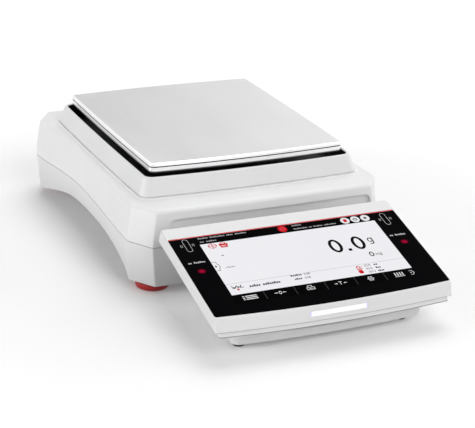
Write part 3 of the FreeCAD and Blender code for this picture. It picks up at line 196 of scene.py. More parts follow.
housing_white = (0.81, 0.81, 0.813)
# Painted shade: the tray is painted a darker white than the deck, and greyer towards its foot.
dress(moulded("tray_white", (0.745, 0.745, 0.75), 0.42, shade=tray_painted_shade), "lower_housing")
zinc = Paint("zinc_plate", Metallic=1.0)
spangle = zinc.noise(2 * mm).step(0.3, 0.7)
zinc.feed(Base_Color=zinc.mix(rgba(0.55, 0.56, 0.58), rgba(0.47, 0.48, 0.47), spangle))
zinc.feed(Roughness=0.32 + 0.12 * zinc.noise(0.8 * mm))
dress(zinc, "housing_screws", "chassis_screws", "cover_screws", "bracket_screws")

# Each levelling foot is a smooth red moulded wheel on a steel stud that screws into a
# brass bush of the lower housing. The wheel turns on a black rubber pad that stays
# still on the bench.
wheel = moulded("foot_red", (0.36, 0.004, 0.006), 0.38, depth=0.004 * mm, edge=0.3 * mm, coat=0.1)
corners = ("front_left", "front_right", "rear_left", "rear_right")
dress(wheel, *["foot_wheel_" + corner for corner in corners])


def rubber(name, grey):
    """Matt black rubber with a dusty bloom."""
    paint = Paint(name, Specular_IOR_Level=0.35)
    bloom = paint.noise(3 * mm, 4.0)
    paint.feed(Base_Color=paint.mix(rgba(grey, grey, grey), rgba(grey * 2.2, grey * 2.2, grey * 2.3),
                                    bloom.step(0.45, 0.75)))
    paint.feed(Roughness=0.66 + 0.2 * bloom)
    return paint.relief(paint.noise(0.5 * mm), 0.02 * mm, 0.3 * mm)


black_rubber = rubber("black_rubber", 0.018)
dress(black_rubber, "pan_bumpers", "stand_feet", *["foot_pad_" + corner for corner in corners])


def turned_metal(name, colour, rough, axis=(1, 1, 0.06), line=0.25 * mm):
    """Machined metal with fine tool lines square to an axis."""
    paint = Paint(name, Metallic=1.0)
    lines = paint.noise(line, 1.0, tuple(40 if a < 0.5 else 1 for a in axis))
    paint.feed(Base_Color=paint.mix(rgba(*colour), rgba(*[c * 0.86 for c in colour]), lines.step(0.3, 0.7)))
    paint.feed(Roughness=rough + 0.12 * (lines - 0.5))
    return paint.relief(lines, 0.004 * mm, 0.15 * mm)


steel = turned_metal("turned_steel", (0.58, 0.58, 0.58), 0.28)
brass = turned_metal("turned_brass", (0.80, 0.60, 0.26), 0.25)
dress(steel, "lever_pin", "overload_stops", "cal_motor", "motor_bracket", "hinge_pins", "terminal_bracket",
      *["foot_stud_" + corner for corner in corners])
dress(brass, "foot_bushes", "cal_spindle")

# The chassis plate and the pan carrier are die castings, the parts of the weighing
# cell are milled from one grade of aluminium, and the magnet sits in a nickel-plated
# iron pot with the coil in its gap.


def cast(name, colour):
    """Blasted die-cast alloy."""
    paint = Paint(name, Metallic=1.0)
    spots = paint.noise(0.5 * mm, 4.0)
    patches = paint.noise(14 * mm)
    paint.feed(Base_Color=paint.mix(rgba(*colour), rgba(*[c * 0.85 for c in colour]), patches.step(0.3, 0.7)))
    paint.feed(Roughness=0.46 + 0.12 * spots)
    return paint.relief(spots, 0.03 * mm, 0.4 * mm)


dress(cast("cast_alloy", (0.52, 0.53, 0.54)), "chassis_plate", "pan_carrier")
milled = turned_metal("milled_alloy", (0.70, 0.71, 0.72), 0.30, (0.06, 1, 1))
dress(milled, "cell_frame", "lower_guide", "upper_guide", "load_hanger", "weighing_lever")
dress(turned_metal("nickel_plate", (0.50, 0.49, 0.47), 0.22), "magnet_pot", "magnet")
copper = Paint("copper_winding", Metallic=1.0)
turns = copper.noise(0.18 * mm, 0.0, (60, 60, 1))
copper.feed(Base_Color=copper.mix(rgba(0.62, 0.25, 0.10), rgba(0.42, 0.14, 0.05), turns.step(0.4, 0.6)))
copper.feed(Roughness=0.35 + 0.1 * turns).relief(turns, 0.05 * mm)
dress(copper, "coil")

# The calibration weight is a polished steel roll. Its lifter and the motor's nut are
# black moulded plastic.
polished = Paint("polished_steel", Metallic=1.0)
haze = polished.noise(5 * mm, 3.0)
polished.feed(Base_Color=polished.mix(rgba(0.68, 0.68, 0.69), rgba(0.6, 0.6, 0.61), haze.step(0.4, 0.7)))
polished.feed(Roughness=0.07 + 0.08 * haze).relief(haze, 0.004 * mm, 0.2 * mm)
dress(polished, "cal_weight", "level_bezel")
black_plastic = moulded("black_plastic", (0.022, 0.022, 0.024), 0.45, depth=0.02 * mm, edge=0.3 * mm)
dress(black_plastic, "cal_lifter", "power_inlet", "hook_cover")

# The boards are green glass-fibre laminate. The connectors' shells are tinned steel
# and show through the openings in the rear of the upper housing.
laminate = Paint("green_laminate", Coat_Weight=0.3, Coat_Roughness=0.2)
weave = laminate.noise(0.6 * mm, 2.0)
laminate.feed(Base_Color=laminate.mix(rgba(0.015, 0.13, 0.05), rgba(0.02, 0.18, 0.07), weave.step(0.4, 0.6)))
laminate.feed(Roughness=0.4 + 0.1 * weave).relief(weave, 0.01 * mm)
dress(laminate, "main_board", "display_board", "position_sensor")
tinned = turned_metal("tinned_steel", (0.62, 0.62, 0.62), 0.3, (1, 0.06, 1), 0.15 * mm)
dress(tinned, "network_port", "serial_port", "device_port", "host_port")

# The spirit level is a closed round vial of yellow-green liquid. It sits in the rear of
# the deck under a polished ring.
vial = Paint("vial_liquid", Transmission_Weight=0.6, IOR=1.45, Coat_Weight=1.0, Coat_Roughness=0.02)
depth_shade = vial.noise(4 * mm)
vial.feed(Base_Color=vial.mix(rgba(0.55, 0.72, 0.10), rgba(0.45, 0.62, 0.08), depth_shade.step(0.3, 0.7)))
vial.feed(Roughness=0.03 + 0.02 * depth_shade)
dress(vial, "level_vial")

# The draft ring is moulded in the housing's plastic. Inside the ring the deck and the ring's inner wall are
# painted black as painted shade, so that the gap round the pan looks dark. The pan is folded from stainless
# sheet, brushed from front to rear on its top.
ring_low, ring_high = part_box("draft_ring")
ring_middle = float(ring_low.y + ring_high.y) / 2
ring_slope = 0.26
ring_corner = 6.5 * mm
ring_half_x = 91.9 * mm
ring_half_y = 100.4 * mm
side_bow = 1.0 * mm
side_bow_reach = 103 * mm
end_bow = 2.8 * mm
end_bow_reach = 94 * mm
# Black for painted shade in the gap round the pan, and for painted dark reflections on the pan's fold.
shade_and_reflection_black = rgba(0.02, 0.02, 0.02)


def ring_hollow(paint):
    """How far a place lies outside the ring's inner wall, which leans in towards its top.

    The wall is a rectangle with round corners and bowed sides. Past its straight parts the
    distance is sqrt(a * a + b * b) less the corner's radius, with a and b counted from the
    corner's middle.
    """
    x, y, z = paint.axes()
    y = y - ring_middle
    lean = (float(ring_high.z) - z) * ring_slope
    side = x.absolute() - ring_half_x - lean - side_bow * (1.0 - y * y / side_bow_reach ** 2)
    end = y.absolute() - ring_half_y - lean - end_bow * (1.0 - x * x / end_bow_reach ** 2)
    past_side = (side + ring_corner).math("MAXIMUM", 0.0)
    past_end = (end + ring_corner).math("MAXIMUM", 0.0)
    return (past_side * past_side + past_end * past_end).math("SQRT") - ring_corner


def ring_painted_shade(paint, tone):
    """Painted shade: black on the inner wall below the lip."""
    inner = ring_hollow(paint).step(0.3 * mm, 0.7 * mm, 1.0, 0.0)
    below = paint.axes()[2].step(ring_high.z - 1.3 * mm, ring_high.z - 0.7 * mm, 1.0, 0.0)
    return paint.mix(tone, shade_and_reflection_black, inner * below)


def deck_painted_shade(paint, tone):
    """Painted shade: black on the deck inside the ring."""
    inner = ring_hollow(paint).step(-0.4 * mm, 0.4 * mm, 1.0, 0.0)
    above = paint.axes()[2].step(ring_low.z - 1.0 * mm, ring_low.z)
    return paint.mix(tone, shade_and_reflection_black, inner * above)


dress(moulded("deck_white", housing_white, 0.42, shade=deck_painted_shade), "upper_housing")
dress(moulded("ring_white", (0.765, 0.765, 0.768), 0.42, shade=ring_painted_shade), "draft_ring")
pan_low, pan_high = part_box("pan")
pan_middle = (pan_low + pan_high) / 2
pan_half_x = 87.5 * mm
pan_half_y = 97.5 * mm
# Depths below the pan's top of the thin dark line of painted reflection on the flange.
reflection_line_top = 2.7 * mm
reflection_line_foot = 3.6 * mm


def pan_painted_highlights(paint, tone):
    """Painted highlight on the fold, bright along the top's edge and down the flange, between two dark lines
    of painted reflection.
    """
    x, y, z = paint.axes()
    y = y - pan_middle.y
    across = y / pan_half_y
    along = x / pan_half_x
    side = pan_half_x + side_bow - side_bow * across * across - x.absolute()
    end = pan_half_y + end_bow - end_bow * along * along - y.absolute()
    rim_highlight = side.math("MINIMUM", end).step(0.4 * mm, 2.4 * mm, 1.0, 0.0)
    down = pan_high.z - z
    tone = paint.mix(tone, rgba(0.86, 0.86, 0.86), rim_highlight)
    tone = paint.mix(tone, shade_and_reflection_black, down.band(reflection_line_top, reflection_line_foot, 0.1 * mm))
    # Painted reflection: the flange's foot is painted dark.
    return paint.mix(tone, rgba(0.06, 0.06, 0.06), down.step(6.2 * mm, 7.4 * mm))


def brushed(name, colour, rough, along):
    """Brushed sheet: long fine scratches along one axis over a soft haze, painted lighter towards the right
    as painted light, with the pan's painted edge highlight.
    """
    paint = Paint(name, Metallic=1.0)
    stretch = tuple(220 if a else 1 for a in along)
    scratch = paint.noise(0.16 * mm, 2.0, stretch, 0.65)
    broad = paint.noise(1.1 * mm, 2.0, tuple(70 if a else 1 for a in along))
    cloud = paint.noise(45 * mm, 2.0, tuple(2.2 if a else 1 for a in along))
    tone = paint.mix(rgba(*colour), rgba(*[c * 0.74 for c in colour]), 0.4 * scratch + 0.6 * broad)
    tone = paint.mix(tone, rgba(*[c * 0.90 for c in colour]), cloud.step(0.35, 0.65))
    # Painted light: the sheet is painted brighter towards the right.
    tone = paint.mix(tone, rgba(*[c * 1.12 for c in colour]), 0.6 * paint.axes()[0].step(-50 * mm, 90 * mm))
    paint.feed(Base_Color=pan_painted_highlights(paint, tone))
    paint.feed(Roughness=rough + 0.10 * (scratch - 0.5) + 0.06 * (cloud - 0.5))
    return paint.relief(0.7 * scratch + 0.3 * broad, 0.010 * mm, 0.25 * mm)


dress(brushed("pan_steel", (0.56, 0.56, 0.56), 0.36, (0, 1, 0)), "pan")

# The terminal's stand and bottom cover are grey-white mouldings. The case is the same
# white plastic as the housing with a smoother surface, and a lit bar shows in its front.
glass_tilt = math.radians(14.7)
glass_thick = 1.8
glass_edge_s = 13.6
down_slope = np.array([0, -math.cos(glass_tilt), -math.sin(glass_tilt)])
off_glass = np.array([0, -math.sin(glass_tilt), math.cos(glass_tilt)])
glass_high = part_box("display_glass")[1]
rear_edge = np.array([0, glass_high.y - glass_thick * mm * math.sin(glass_tilt), glass_high.z])


def painted_shade_line(low, high, share, strip=None):
    """Painted shade: darkens the places between two heights over the glass, in millimetres, as a dark line
    where shade falls.

    strip, where given, is the colour of a painted-shade top behind the glass.
    """
    def shade(paint, tone):
        y, z = paint.axes()[1:]
        y = y - float(rear_edge[1])
        z = z - float(rear_edge[2])
        height = y * float(off_glass[1]) + z * float(off_glass[2])
        down = y * float(down_slope[1]) + z * float(down_slope[2])
        if strip:
            behind = down.step(-0.4 * mm, 0.0, 1.0, 0.0) * height.step(-0.6 * mm, -0.2 * mm)
            tone = paint.mix(tone, rgba(*strip), behind)
        return paint.mix(tone, rgba(0.10, 0.10, 0.10), height.band(low * mm, high * mm, 0.1 * mm) * share)
    return shade


dress(moulded("stand_grey", (0.72, 0.72, 0.723), 0.45), "terminal_stand")
# Painted shade: a dark line along the cover's lower edge, over the stand.
dress(moulded("cover_grey", (0.745, 0.745, 0.748), 0.45, shade=painted_shade_line(-14.1, -13.6, 0.8)),
      "terminal_cover")
# Painted shade: a fainter dark line low on the case's front, and a darker strip on the top behind the glass.
dress(moulded("case_white", (0.76, 0.76, 0.763), 0.36, depth=0.008 * mm,
              shade=painted_shade_line(-10.3, -9.9, 0.5, (0.67, 0.67, 0.673))), "terminal_case")
bar = Paint("lit_bar", Emission_Strength=1.0, Roughness=0.3)
bar_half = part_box("light_bar")[1].x
bar_end = bar.axes()[0].absolute().step(bar_half - 2.5 * mm, bar_half)
bar.feed(Emission_Color=bar.mix(rgba(0.98, 0.98, 1.0), rgba(0.62, 0.60, 0.95), bar_end))
bar.feed(Base_Color=rgba(0.02, 0.02, 0.02))
dress(bar, "light_bar")
dress(moulded("panel_frame", (0.10, 0.10, 0.10), 0.45), "display_panel")
window = Paint("sensor_window", Coat_Weight=0.6, Coat_Roughness=0.05)
tint = window.noise(2 * mm)
window.feed(Base_Color=window.mix(rgba(0.25, 0.0, 0.02), rgba(0.18, 0.0, 0.015), tint))
window.feed(Roughness=0.1 + 0.05 * tint)
dress(window, "proximity_sensors")
glass = Paint("black_glass", Specular_IOR_Level=0.001)
smear = glass.noise(35 * mm, 3.0)
glass.feed(Base_Color=glass.mix(rgba(0.0015, 0.0015, 0.002), rgba(0.003, 0.003, 0.0035), smear))
glass.feed(Roughness=0.12 + 0.06 * smear)
dress(glass, "display_glass")

# What shows on the terminal is lit or printed in thin layers. Each layer is a set of flat
# closed shapes between a low and a high a few hundredths of a millimetre over the glass,
# drawn in millimetres across (x) and down the slope from the case's rear edge (s).
film = (0.01, 0.03)
page_film = (0.03, 0.06)
bar_print = (0.03, 0.05)
bar_mark = (0.05, 0.07)
page_line = (0.06, 0.07)
page_print = (0.06, 0.08)
page_mark = (0.08, 0.09)


def on_glass(x, s, h):
    """Points in the row frame from arrays of x, s and height h over the glass, in millimetres."""
    x, s, h = np.broadcast_arrays(x, s, h)
    sideways = x[..., None] * np.array([1.0, 0, 0])
    return rear_edge + mm * (sideways + (s - glass_edge_s)[..., None] * down_slope + h[..., None] * off_glass)


def oval(x, s, reach_x, reach_s, count=48):
    """Ellipse: the middle plus the reaches times cosine and sine of evenly spaced turns."""
    turn = np.linspace(0, 2 * math.pi, count, endpoint=False)
    return np.stack([x + reach_x * np.cos(turn), s + reach_s * np.sin(turn)], 1)


def soft_box(x0, x1, s0, s1, radius, count=8):
    """Rectangle with round corners: quarter circles of turns round four inner corners."""
    turn = np.linspace(0, math.pi / 2, count)
    quarter = np.concatenate([turn + k * math.pi / 2 for k in range(4)])
    middle_x = np.repeat([x1 - radius, x0 + radius, x0 + radius, x1 - radius], count)
    middle_s = np.repeat([s1 - radius, s1 - radius, s0 + radius, s0 + radius], count)
    return np.stack([middle_x + radius * np.cos(quarter), middle_s + radius * np.sin(quarter)], 1)


class Layer:
    """Flat closed shapes between two heights over a face, gathered into one piece.

    place maps flat millimetres and a height to the row frame, as on_glass does.
    """

    def __init__(self, heights, place=on_glass, body="terminal_head"):
        self.heights = heights
        self.place = place
        self.body = body
        self.points = []
        self.faces = []
        self.count = 0

    def put(self, points, faces):
        """Add a closed shell whose faces count from its own first point."""
        self.points.append(points)
        self.faces += [[i + self.count for i in face] for face in faces]
        self.count += len(points)

    def plate(self, loop):
        """Prism over one loop: the loop at both heights, two caps and a side quad for each edge."""
        n = len(loop)
        rows = [self.place(loop[:, 0], loop[:, 1], h) for h in self.heights]
        sides = [(i, (i + 1) % n, n + (i + 1) % n, n + i) for i in range(n)]
        self.put(np.concatenate(rows), [range(n), range(n, 2 * n)] + sides)
        return self

    def ring(self, outer, inner):
        """Prism between two loops of equal count: four rows of points joined in a closed tube."""
        n = len(outer)
        low, high = self.heights
        rows = [self.place(loop[:, 0], loop[:, 1], h)
                for loop, h in ((outer, low), (outer, high), (inner, high), (inner, low))]
        faces = [(r * n + i, r * n + (i + 1) % n, (r + 1) % 4 * n + (i + 1) % n, (r + 1) % 4 * n + i)
                 for r in range(4) for i in range(n)]
        self.put(np.concatenate(rows), faces)
        return self

    def stroke(self, path, width, closed=False):
        """Line of one width along a path: the path moved both ways along its mitred normals."""
        path = np.array(path, float)
        steps = np.roll(path, -1, 0) - path
        if not closed:
            steps[-1] = steps[-2]
        steps /= np.hypot(steps[:, 0], steps[:, 1])[:, None]
        before = np.roll(steps, 1, 0)
        if not closed:
            before[0] = steps[0]
        normal = np.stack([-(steps + before)[:, 1], (steps + before)[:, 0]], 1)
        mitre = normal * 2 / (normal ** 2).sum(1)[:, None]
        near = path + mitre * width / 2
        far = path - mitre * width / 2
        return self.ring(near, far) if closed else self.plate(np.concatenate([near, far[::-1]]))

    def print_row(self, x0, x1, s, high, words):
        """A line of small print from x0 to x1: upright blocks by the word, tall and low by turns."""
        room = (x1 - x0) / (sum(words) + len(words) - 1)
        start = x0
        for word in words:
            for letter in range(word):
                tall = 1.0 if (letter * 5 + word) % 3 == 0 else 0.72
                left = start + letter * room
                foot = s + high * 0.5
                self.plate(soft_box(left, left + room * 0.76, foot - high * tall, foot, room * 0.1, 2))
            start += (word + 1) * room
        return self

    def dashes(self, x0, x1, s, high, shares, gap=0.9):
        """A row of short bars from x0 to x1 whose lengths go by shares, as a plain line of print."""
        room = x1 - x0 - gap * (len(shares) - 1)
        start = x0
        for share in shares:
            end = start + room * share / sum(shares)
            self.plate(soft_box(start, end, s - high / 2, s + high / 2, high * 0.35, 3))
            start = end + gap
        return self

    def figures(self, text, size, x, s):
        """Plain figures that start at x, with their foot at s, cut from the built-in face."""
        low, high = self.heights
        curve = bpy.data.curves.new("figures", "FONT")
        curve.body = text
        curve.size = size
        curve.extrude = (high - low) / 2
        made = bpy.data.objects.new("figures", curve)
        mesh = bpy.data.meshes.new_from_object(made)
        flat = np.empty(len(mesh.vertices) * 3)
        mesh.vertices.foreach_get("co", flat)
        flat = flat.reshape(-1, 3)
        points = self.place(x + flat[:, 0], s - flat[:, 1], (low + high) / 2 + flat[:, 2])
        self.put(points, [list(face.vertices) for face in mesh.polygons])
        bpy.data.objects.remove(made)
        return self

    def piece(self, name, paint, finish):
        """Make the finished piece: one mesh that rides on its body, its faces turned outwards."""
        mesh = bpy.data.meshes.new(name)
        mesh.from_pydata(np.concatenate(self.points).tolist(), [], self.faces)
        shell = bmesh.new()
        shell.from_mesh(mesh)
        bmesh.ops.remove_doubles(shell, verts=shell.verts, dist=1e-7)
        bmesh.ops.recalc_face_normals(shell, faces=shell.faces)
        shell.to_mesh(mesh)
        shell.free()
        mesh.materials.append(paint.material)
        made = bpy.data.objects.new(name, mesh)
        bpy.context.scene.collection.objects.link(made)
        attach(made, self.body)


def lit(name, colour, dim=0.96):
    """Lit part of the display: its light hardly varies, and it mirrors very little."""
    paint = Paint(name, Emission_Strength=1.0, Specular_IOR_Level=0.002, Roughness=0.35,
                  Base_Color=rgba(0.0, 0.0, 0.0))
    uneven = paint.noise(40 * mm)
    return paint.feed(Emission_Color=paint.mix(rgba(*colour), rgba(*[c * dim for c in colour]), uneven))


page_half = 77.2
line_foot = 14.9
page_top = 24.6
page_foot = 88.3
bar_foot = 98.6
unlit = Paint("unlit_panel", Specular_IOR_Level=0.001)
unlit_haze = unlit.noise(30 * mm)
unlit.feed(Base_Color=unlit.mix(rgba(0.0012, 0.0012, 0.0013), rgba(0.002, 0.002, 0.0022), unlit_haze))
unlit.feed(Roughness=0.12 + 0.06 * unlit_haze)
Layer(film).plate(soft_box(-page_half, page_half, line_foot, bar_foot, 0.6)).piece(
    "display_area", unlit, "screen_panel")
Layer(page_film).plate(soft_box(-page_half, page_half, page_top, page_foot, 0.3)).piece(
    "lit_page", lit("page_white", (0.87, 0.87, 0.90)), "screen_panel")

# The reading: two narrow oval noughts with a square point, the unit, a small second
# reading under it, thin divider lines and short rows of print and figures.
ink = lit("page_ink", (0.006, 0.006, 0.007))
reading = Layer(page_print)
reading_s = 49.3
for nought_x in (29.3, 49.6):
    reading.ring(oval(nought_x, reading_s, 5.4, 8.4, 64), oval(nought_x, reading_s, 2.75, 6.0, 64))
reading.plate(soft_box(37.7, 40.7, 54.7, 57.7, 0.3))
reading.ring(oval(61.0, 47.7, 2.3, 2.7, 32), oval(61.0, 47.7, 1.4, 1.75, 32))
reading.stroke([(62.9, 45.1), (62.9, 51.2), (62.2, 52.4), (60.9, 52.8), (59.3, 52.2)], 0.9)
reading.ring(oval(53.6, 65.1, 2.0, 2.9, 32), oval(53.6, 65.1, 1.05, 1.95, 32))
reading.figures("mg", 4.8, 56.6, 67.2)
reading.plate(soft_box(-65.7, -63.5, 40.6, 41.4, 0.3))
reading.stroke([(-68.2, 55.8), (-66.6, 55.8), (-65.8, 54.9), (-65.0, 56.6), (-64.2, 55.8)], 0.4)
reading.dashes(-63.6, -61.0, 55.8, 0.9, (1, 1), 0.5)
reading.piece("reading", ink, "screen_panel")
rows = Layer(page_print)
rows.print_row(-59.6, -33.6, 81.0, 2.6, (5, 8))
rows.print_row(-23.0, -13.4, 76.6, 2.0, (6,)).figures("0.00", 3.1, -11.8, 77.7)
rows.print_row(-21.4, -15.0, 81.0, 2.0, (4,)).figures("0.00", 3.1, -13.0, 82.1)
row_step = 4.0
for row, figure in enumerate(("20.0", "45.0", "1013")):
    rows.figures(figure, 3.3, 40.0, 78.7 + row_step * row)
    rows.print_row(48.6, 52.2 + row, 77.6 + row_step * row, 2.0, (2 + row,))
rows.stroke([(-73.6, 78.0), (-72.6, 80.0), (-70.6, 80.0), (-69.6, 78.4), (-68.6, 80.0), (-66.6, 80.0),
             (-65.6, 78.0)], 0.7)
rows.dashes(-73.6, -64.2, 80.9, 0.7, (3, 2, 3), 0.6)
rows.piece("page_rows", ink, "screen_panel")
Layer(page_line).plate(soft_box(-page_half, page_half, 75.35, 75.65, 0.1)).piece(
    "page_divider", lit("divider_grey", (0.45, 0.45, 0.47)), "screen_panel")

# Signs on the page are plain line drawings: a balance beam, a weight, a thermometer and
# a small tab at the left edge that pulls a drawer of settings out.
signal_red = lit("signal_red", (0.62, 0.012, 0.020))
signs = Layer(page_print)
signs.stroke(oval(-68.1, 28.2, 3.3, 2.7, 32), 0.55, True)
signs.stroke([(-72.0, 28.2), (-64.2, 28.2)], 0.6)
signs.stroke([(-68.1, 24.9), (-68.1, 31.6)], 0.6)
signs.plate(np.array([(-62.8, 27.0), (-54.8, 27.0), (-56.2, 31.8), (-61.4, 31.8)]))
signs.ring(oval(-58.8, 26.2, 2.4, 1.3, 24), oval(-58.8, 26.2, 1.7, 0.7, 24))
signs.stroke(soft_box(33.2, 35.8, 77.2, 83.2, 1.25), 0.8, True)
signs.stroke([(34.5, 79.4), (34.5, 83.0)], 0.7)
signs.plate(oval(34.5, 84.2, 2.1, 2.1, 24))
signs.stroke([(36.6, 78.4), (38.2, 78.4)], 0.5).stroke([(36.6, 80.2), (38.2, 80.2)], 0.5)
signs.plate(oval(-69.6, 82.9, 1.0, 1.0, 16))
signs.plate(oval(-3.5, 19.4, 3.9, 3.9, 40))
signs.piece("page_signs", signal_red, "screen_panel")
weight_marks = Layer(page_mark).stroke([(-60.9, 29.2), (-56.7, 29.2)], 0.5)
weight_marks.stroke([(-60.5, 30.5), (-57.1, 30.5)], 0.4)
weight_marks.piece("weight_marks", lit("mark_white", (0.87, 0.87, 0.90)), "screen_panel")
tab = Layer(page_print)
tab.stroke([(-77.1, 47.8), (-73.6, 47.8), (-73.6, 50.4), (-72.4, 51.2), (-72.4, 54.9), (-73.6, 55.7),
            (-73.6, 58.2), (-77.1, 58.2)], 0.4)
tab.plate(np.array([(-75.9, 51.4), (-74.3, 53.0), (-75.9, 54.6)]))
tab.piece("drawer_tab", ink, "screen_panel")

# The black bars carry white signs: rows of print and three round buttons above the page,
# and six keys with thin separators below it.
bright = lit("sign_white", (0.80, 0.80, 0.82))
dim_white = lit("print_grey", (0.38, 0.38, 0.39))
header = Layer(bar_print)
header.print_row(-75.9, -34.3, 17.1, 1.7, (6, 9, 4, 7))
header.print_row(-75.8, -61.5, 21.4, 1.7, (2, 5))
header.print_row(5.6, 14.3, 17.0, 1.6, (5,))
header.print_row(5.6, 43.7, 21.3, 1.6, (9, 2, 6, 8))
header.piece("header_rows", dim_white, "screen_panel")
buttons = Layer(bar_print)
button_s = 19.8
red_x, ring_x, dot_x = (52.6, 61.8, 71.0)
for button_x in (red_x, ring_x, dot_x):
    buttons.plate(oval(button_x, button_s, 3.95, 3.95, 40))
buttons.piece("round_buttons", bright, "screen_panel")
button_red = Layer(bar_mark).plate(soft_box(red_x - 1.5, red_x + 1.5, 17.9, 21.7, 0.5))
button_red.piece("button_mark_red", signal_red, "screen_panel")
button_dark = Layer(bar_mark)
button_dark.ring(oval(ring_x, button_s, 2.0, 1.5, 24), oval(ring_x, button_s, 1.3, 0.8, 24))
button_dark.plate(oval(dot_x, button_s, 1.3, 1.3, 20))
button_dark.piece("button_marks_dark", ink, "screen_panel")
Layer(page_print).stroke(oval(-3.5, 19.4, 1.7, 1.7, 24), 0.5, True).piece(
    "red_button_mark", lit("button_pink", (0.75, 0.25, 0.27)), "screen_panel")
separators = Layer(bar_print)
for edge in (-52.0, -26.6, -0.6, 25.0, 50.8):
    separators.plate(soft_box(edge - 0.14, edge + 0.14, page_foot + 0.2, bar_foot - 0.5, 0.1, 2))
separators.piece("key_separators", lit("separator_grey", (0.10, 0.10, 0.105)), "screen_panel")


def arrow(layer, x, s, reach):
    """Arrow whose head is at x and whose shaft comes from x less reach."""
    side = math.copysign(1.0, reach)
    layer.stroke([(x - reach, s), (x - 0.7 * side, s)], 0.45)
    layer.plate(np.array([(x, s), (x - 1.2 * side, s - 0.8), (x - 1.2 * side, s + 0.8)]))


keys = Layer(bar_print)
for row_s, shares in ((91.6, (1, 6)), (93.4, (1, 5)), (95.2, (1, 7))):
    keys.dashes(-70.4, -58.4, row_s, 0.9, shares, 0.8)
keys.ring(oval(-39.4, 93.3, 1.25, 1.8, 32), oval(-39.4, 93.3, 0.75, 1.3, 32))
arrow(keys, -41.4, 93.3, 3.0)
arrow(keys, -37.4, 93.3, -3.0)
keys.stroke([(-17.0, 92.6), (-17.0, 95.2), (-10.8, 95.2), (-10.8, 92.6)], 0.5, True)
keys.stroke([(-15.6, 92.2), (-15.6, 90.6), (-12.2, 90.6), (-12.2, 92.2)], 0.45)
keys.dashes(-15.4, -12.4, 94.0, 0.5, (1,))
keys.stroke([(10.4, 91.6), (13.4, 91.6)], 0.5).stroke([(11.9, 91.6), (11.9, 95.1)], 0.5)
arrow(keys, 9.4, 93.4, 2.8)
arrow(keys, 14.4, 93.4, -2.8)
wheel_place = np.array([38.1, 93.4])
for wheel_r in (0.8, 2.0):
    keys.stroke(oval(*wheel_place, wheel_r, wheel_r, 28), 0.45, True)
for turn in range(6):
    spoke = np.array([math.cos(turn * math.pi / 3), math.sin(turn * math.pi / 3)])
    keys.stroke([tuple(wheel_place + spoke * reach) for reach in (2.1, 2.9)], 0.6)
for column in range(4):
    keys.stroke([(59.6 + 2.2 * column, 91.3), (59.6 + 2.2 * column, 95.3)], 0.9)
keys.stroke([(58.6, 96.1), (67.2, 96.1)], 0.45)
keys.stroke([(72.6, 91.4), (75.2, 91.4), (75.2, 92.6), (76.2, 93.1), (76.2, 94.3), (75.2, 94.8), (75.2, 96.0),
             (72.6, 96.0)], 0.35)
keys.plate(np.array([(73.2, 92.9), (74.4, 93.7), (73.2, 94.5)]))
keys.piece("key_signs", bright, "screen_panel")

# The glass is printed from behind: a red line along its rear edge, and on each side an
# upright slot with small waves over a touchless sensor, which glows dark red.


def printed(name, colour, other, size, rough, specular=0.3):
    """Printing ink that wanders between two tones."""
    paint = Paint(name, Specular_IOR_Level=specular, Roughness=rough)
    return paint.feed(Base_Color=paint.mix(rgba(*colour), rgba(*other), paint.noise(size)))


print_red = printed("print_red", (0.60, 0.006, 0.010), (0.54, 0.005, 0.008), 20 * mm, 0.2)
line_half = glass_high.x / mm - 0.3
Layer(film).plate(soft_box(-line_half, line_half, glass_edge_s + 0.05, line_foot, 0.2)).piece(
    "red_line", print_red, "screen_panel")
print_white = printed("print_white", (0.42, 0.42, 0.43), (0.36, 0.36, 0.37), 9 * mm, 0.3)
slots = Layer(film)
for slot_x, wave_s in ((-87.2, 23.7), (87.2, 24.6)):
    slots.stroke(soft_box(slot_x - 2.2, slot_x + 2.2, wave_s - 7.6, wave_s + 7.6, 2.15), 0.38, True)
    for side in (-1, 1):
        for reach in (3.9, 5.1):
            bend = np.linspace(-0.5, 0.5, 7)
            out = slot_x + side * (reach + 0.5 * np.cos(3 * bend))
            slots.stroke(np.stack([out, wave_s + 3.2 * bend * reach / 5], 1), 0.35)
slots.print_row(-95.2, -81.0, 45.0, 2.1, (2, 6)).print_row(80.2, 94.4, 46.1, 2.1, (2, 6))
slots.piece("sensor_print", print_white, "screen_glass")
glow_s = 56.0
glow_x = 88.3
glow = Paint("sensor_glow", Emission_Strength=1.0, Specular_IOR_Level=0.001, Roughness=0.12,
             Base_Color=rgba(0.002, 0.001, 0.001))
spot = on_glass(glow_x, glow_s, 0.0)
glow_place = glow.axes()
away_x = glow_place[0].absolute() - float(spot[0])
away_y = (glow_place[1] - float(spot[1])) * (1.25 / math.cos(glass_tilt))
away = (away_x * away_x + away_y * away_y).math("SQRT").step(0.0, 4.2 * mm)
glow.feed(Emission_Color=glow.mix(rgba(0.42, 0.003, 0.04), rgba(0.0, 0.0, 0.0), away))
glows = Layer(film)
for side in (-1, 1):
    glows.plate(oval(side * glow_x, glow_s, 4.3, 3.5, 40))
glows.piece("sensor_glows", glow, "screen_glass")

# The level shows a black ring mark and a bubble a little off its middle. The sockets in the rear have their
# contacts and holes painted black as painted shade, and the housing screws under the tray a cross recess
# painted black as painted shade.


def flat_face(middle, across, down, out):
    """A map from flat millimetres (x, s, h) to the row frame: middle + x across + s down + h out."""
    def place(x, s, h):
        flat = np.stack(np.broadcast_arrays(x, s, h), -1)
        return np.array(middle, float) + mm * (flat @ np.array([across, down, out], float))
    return place


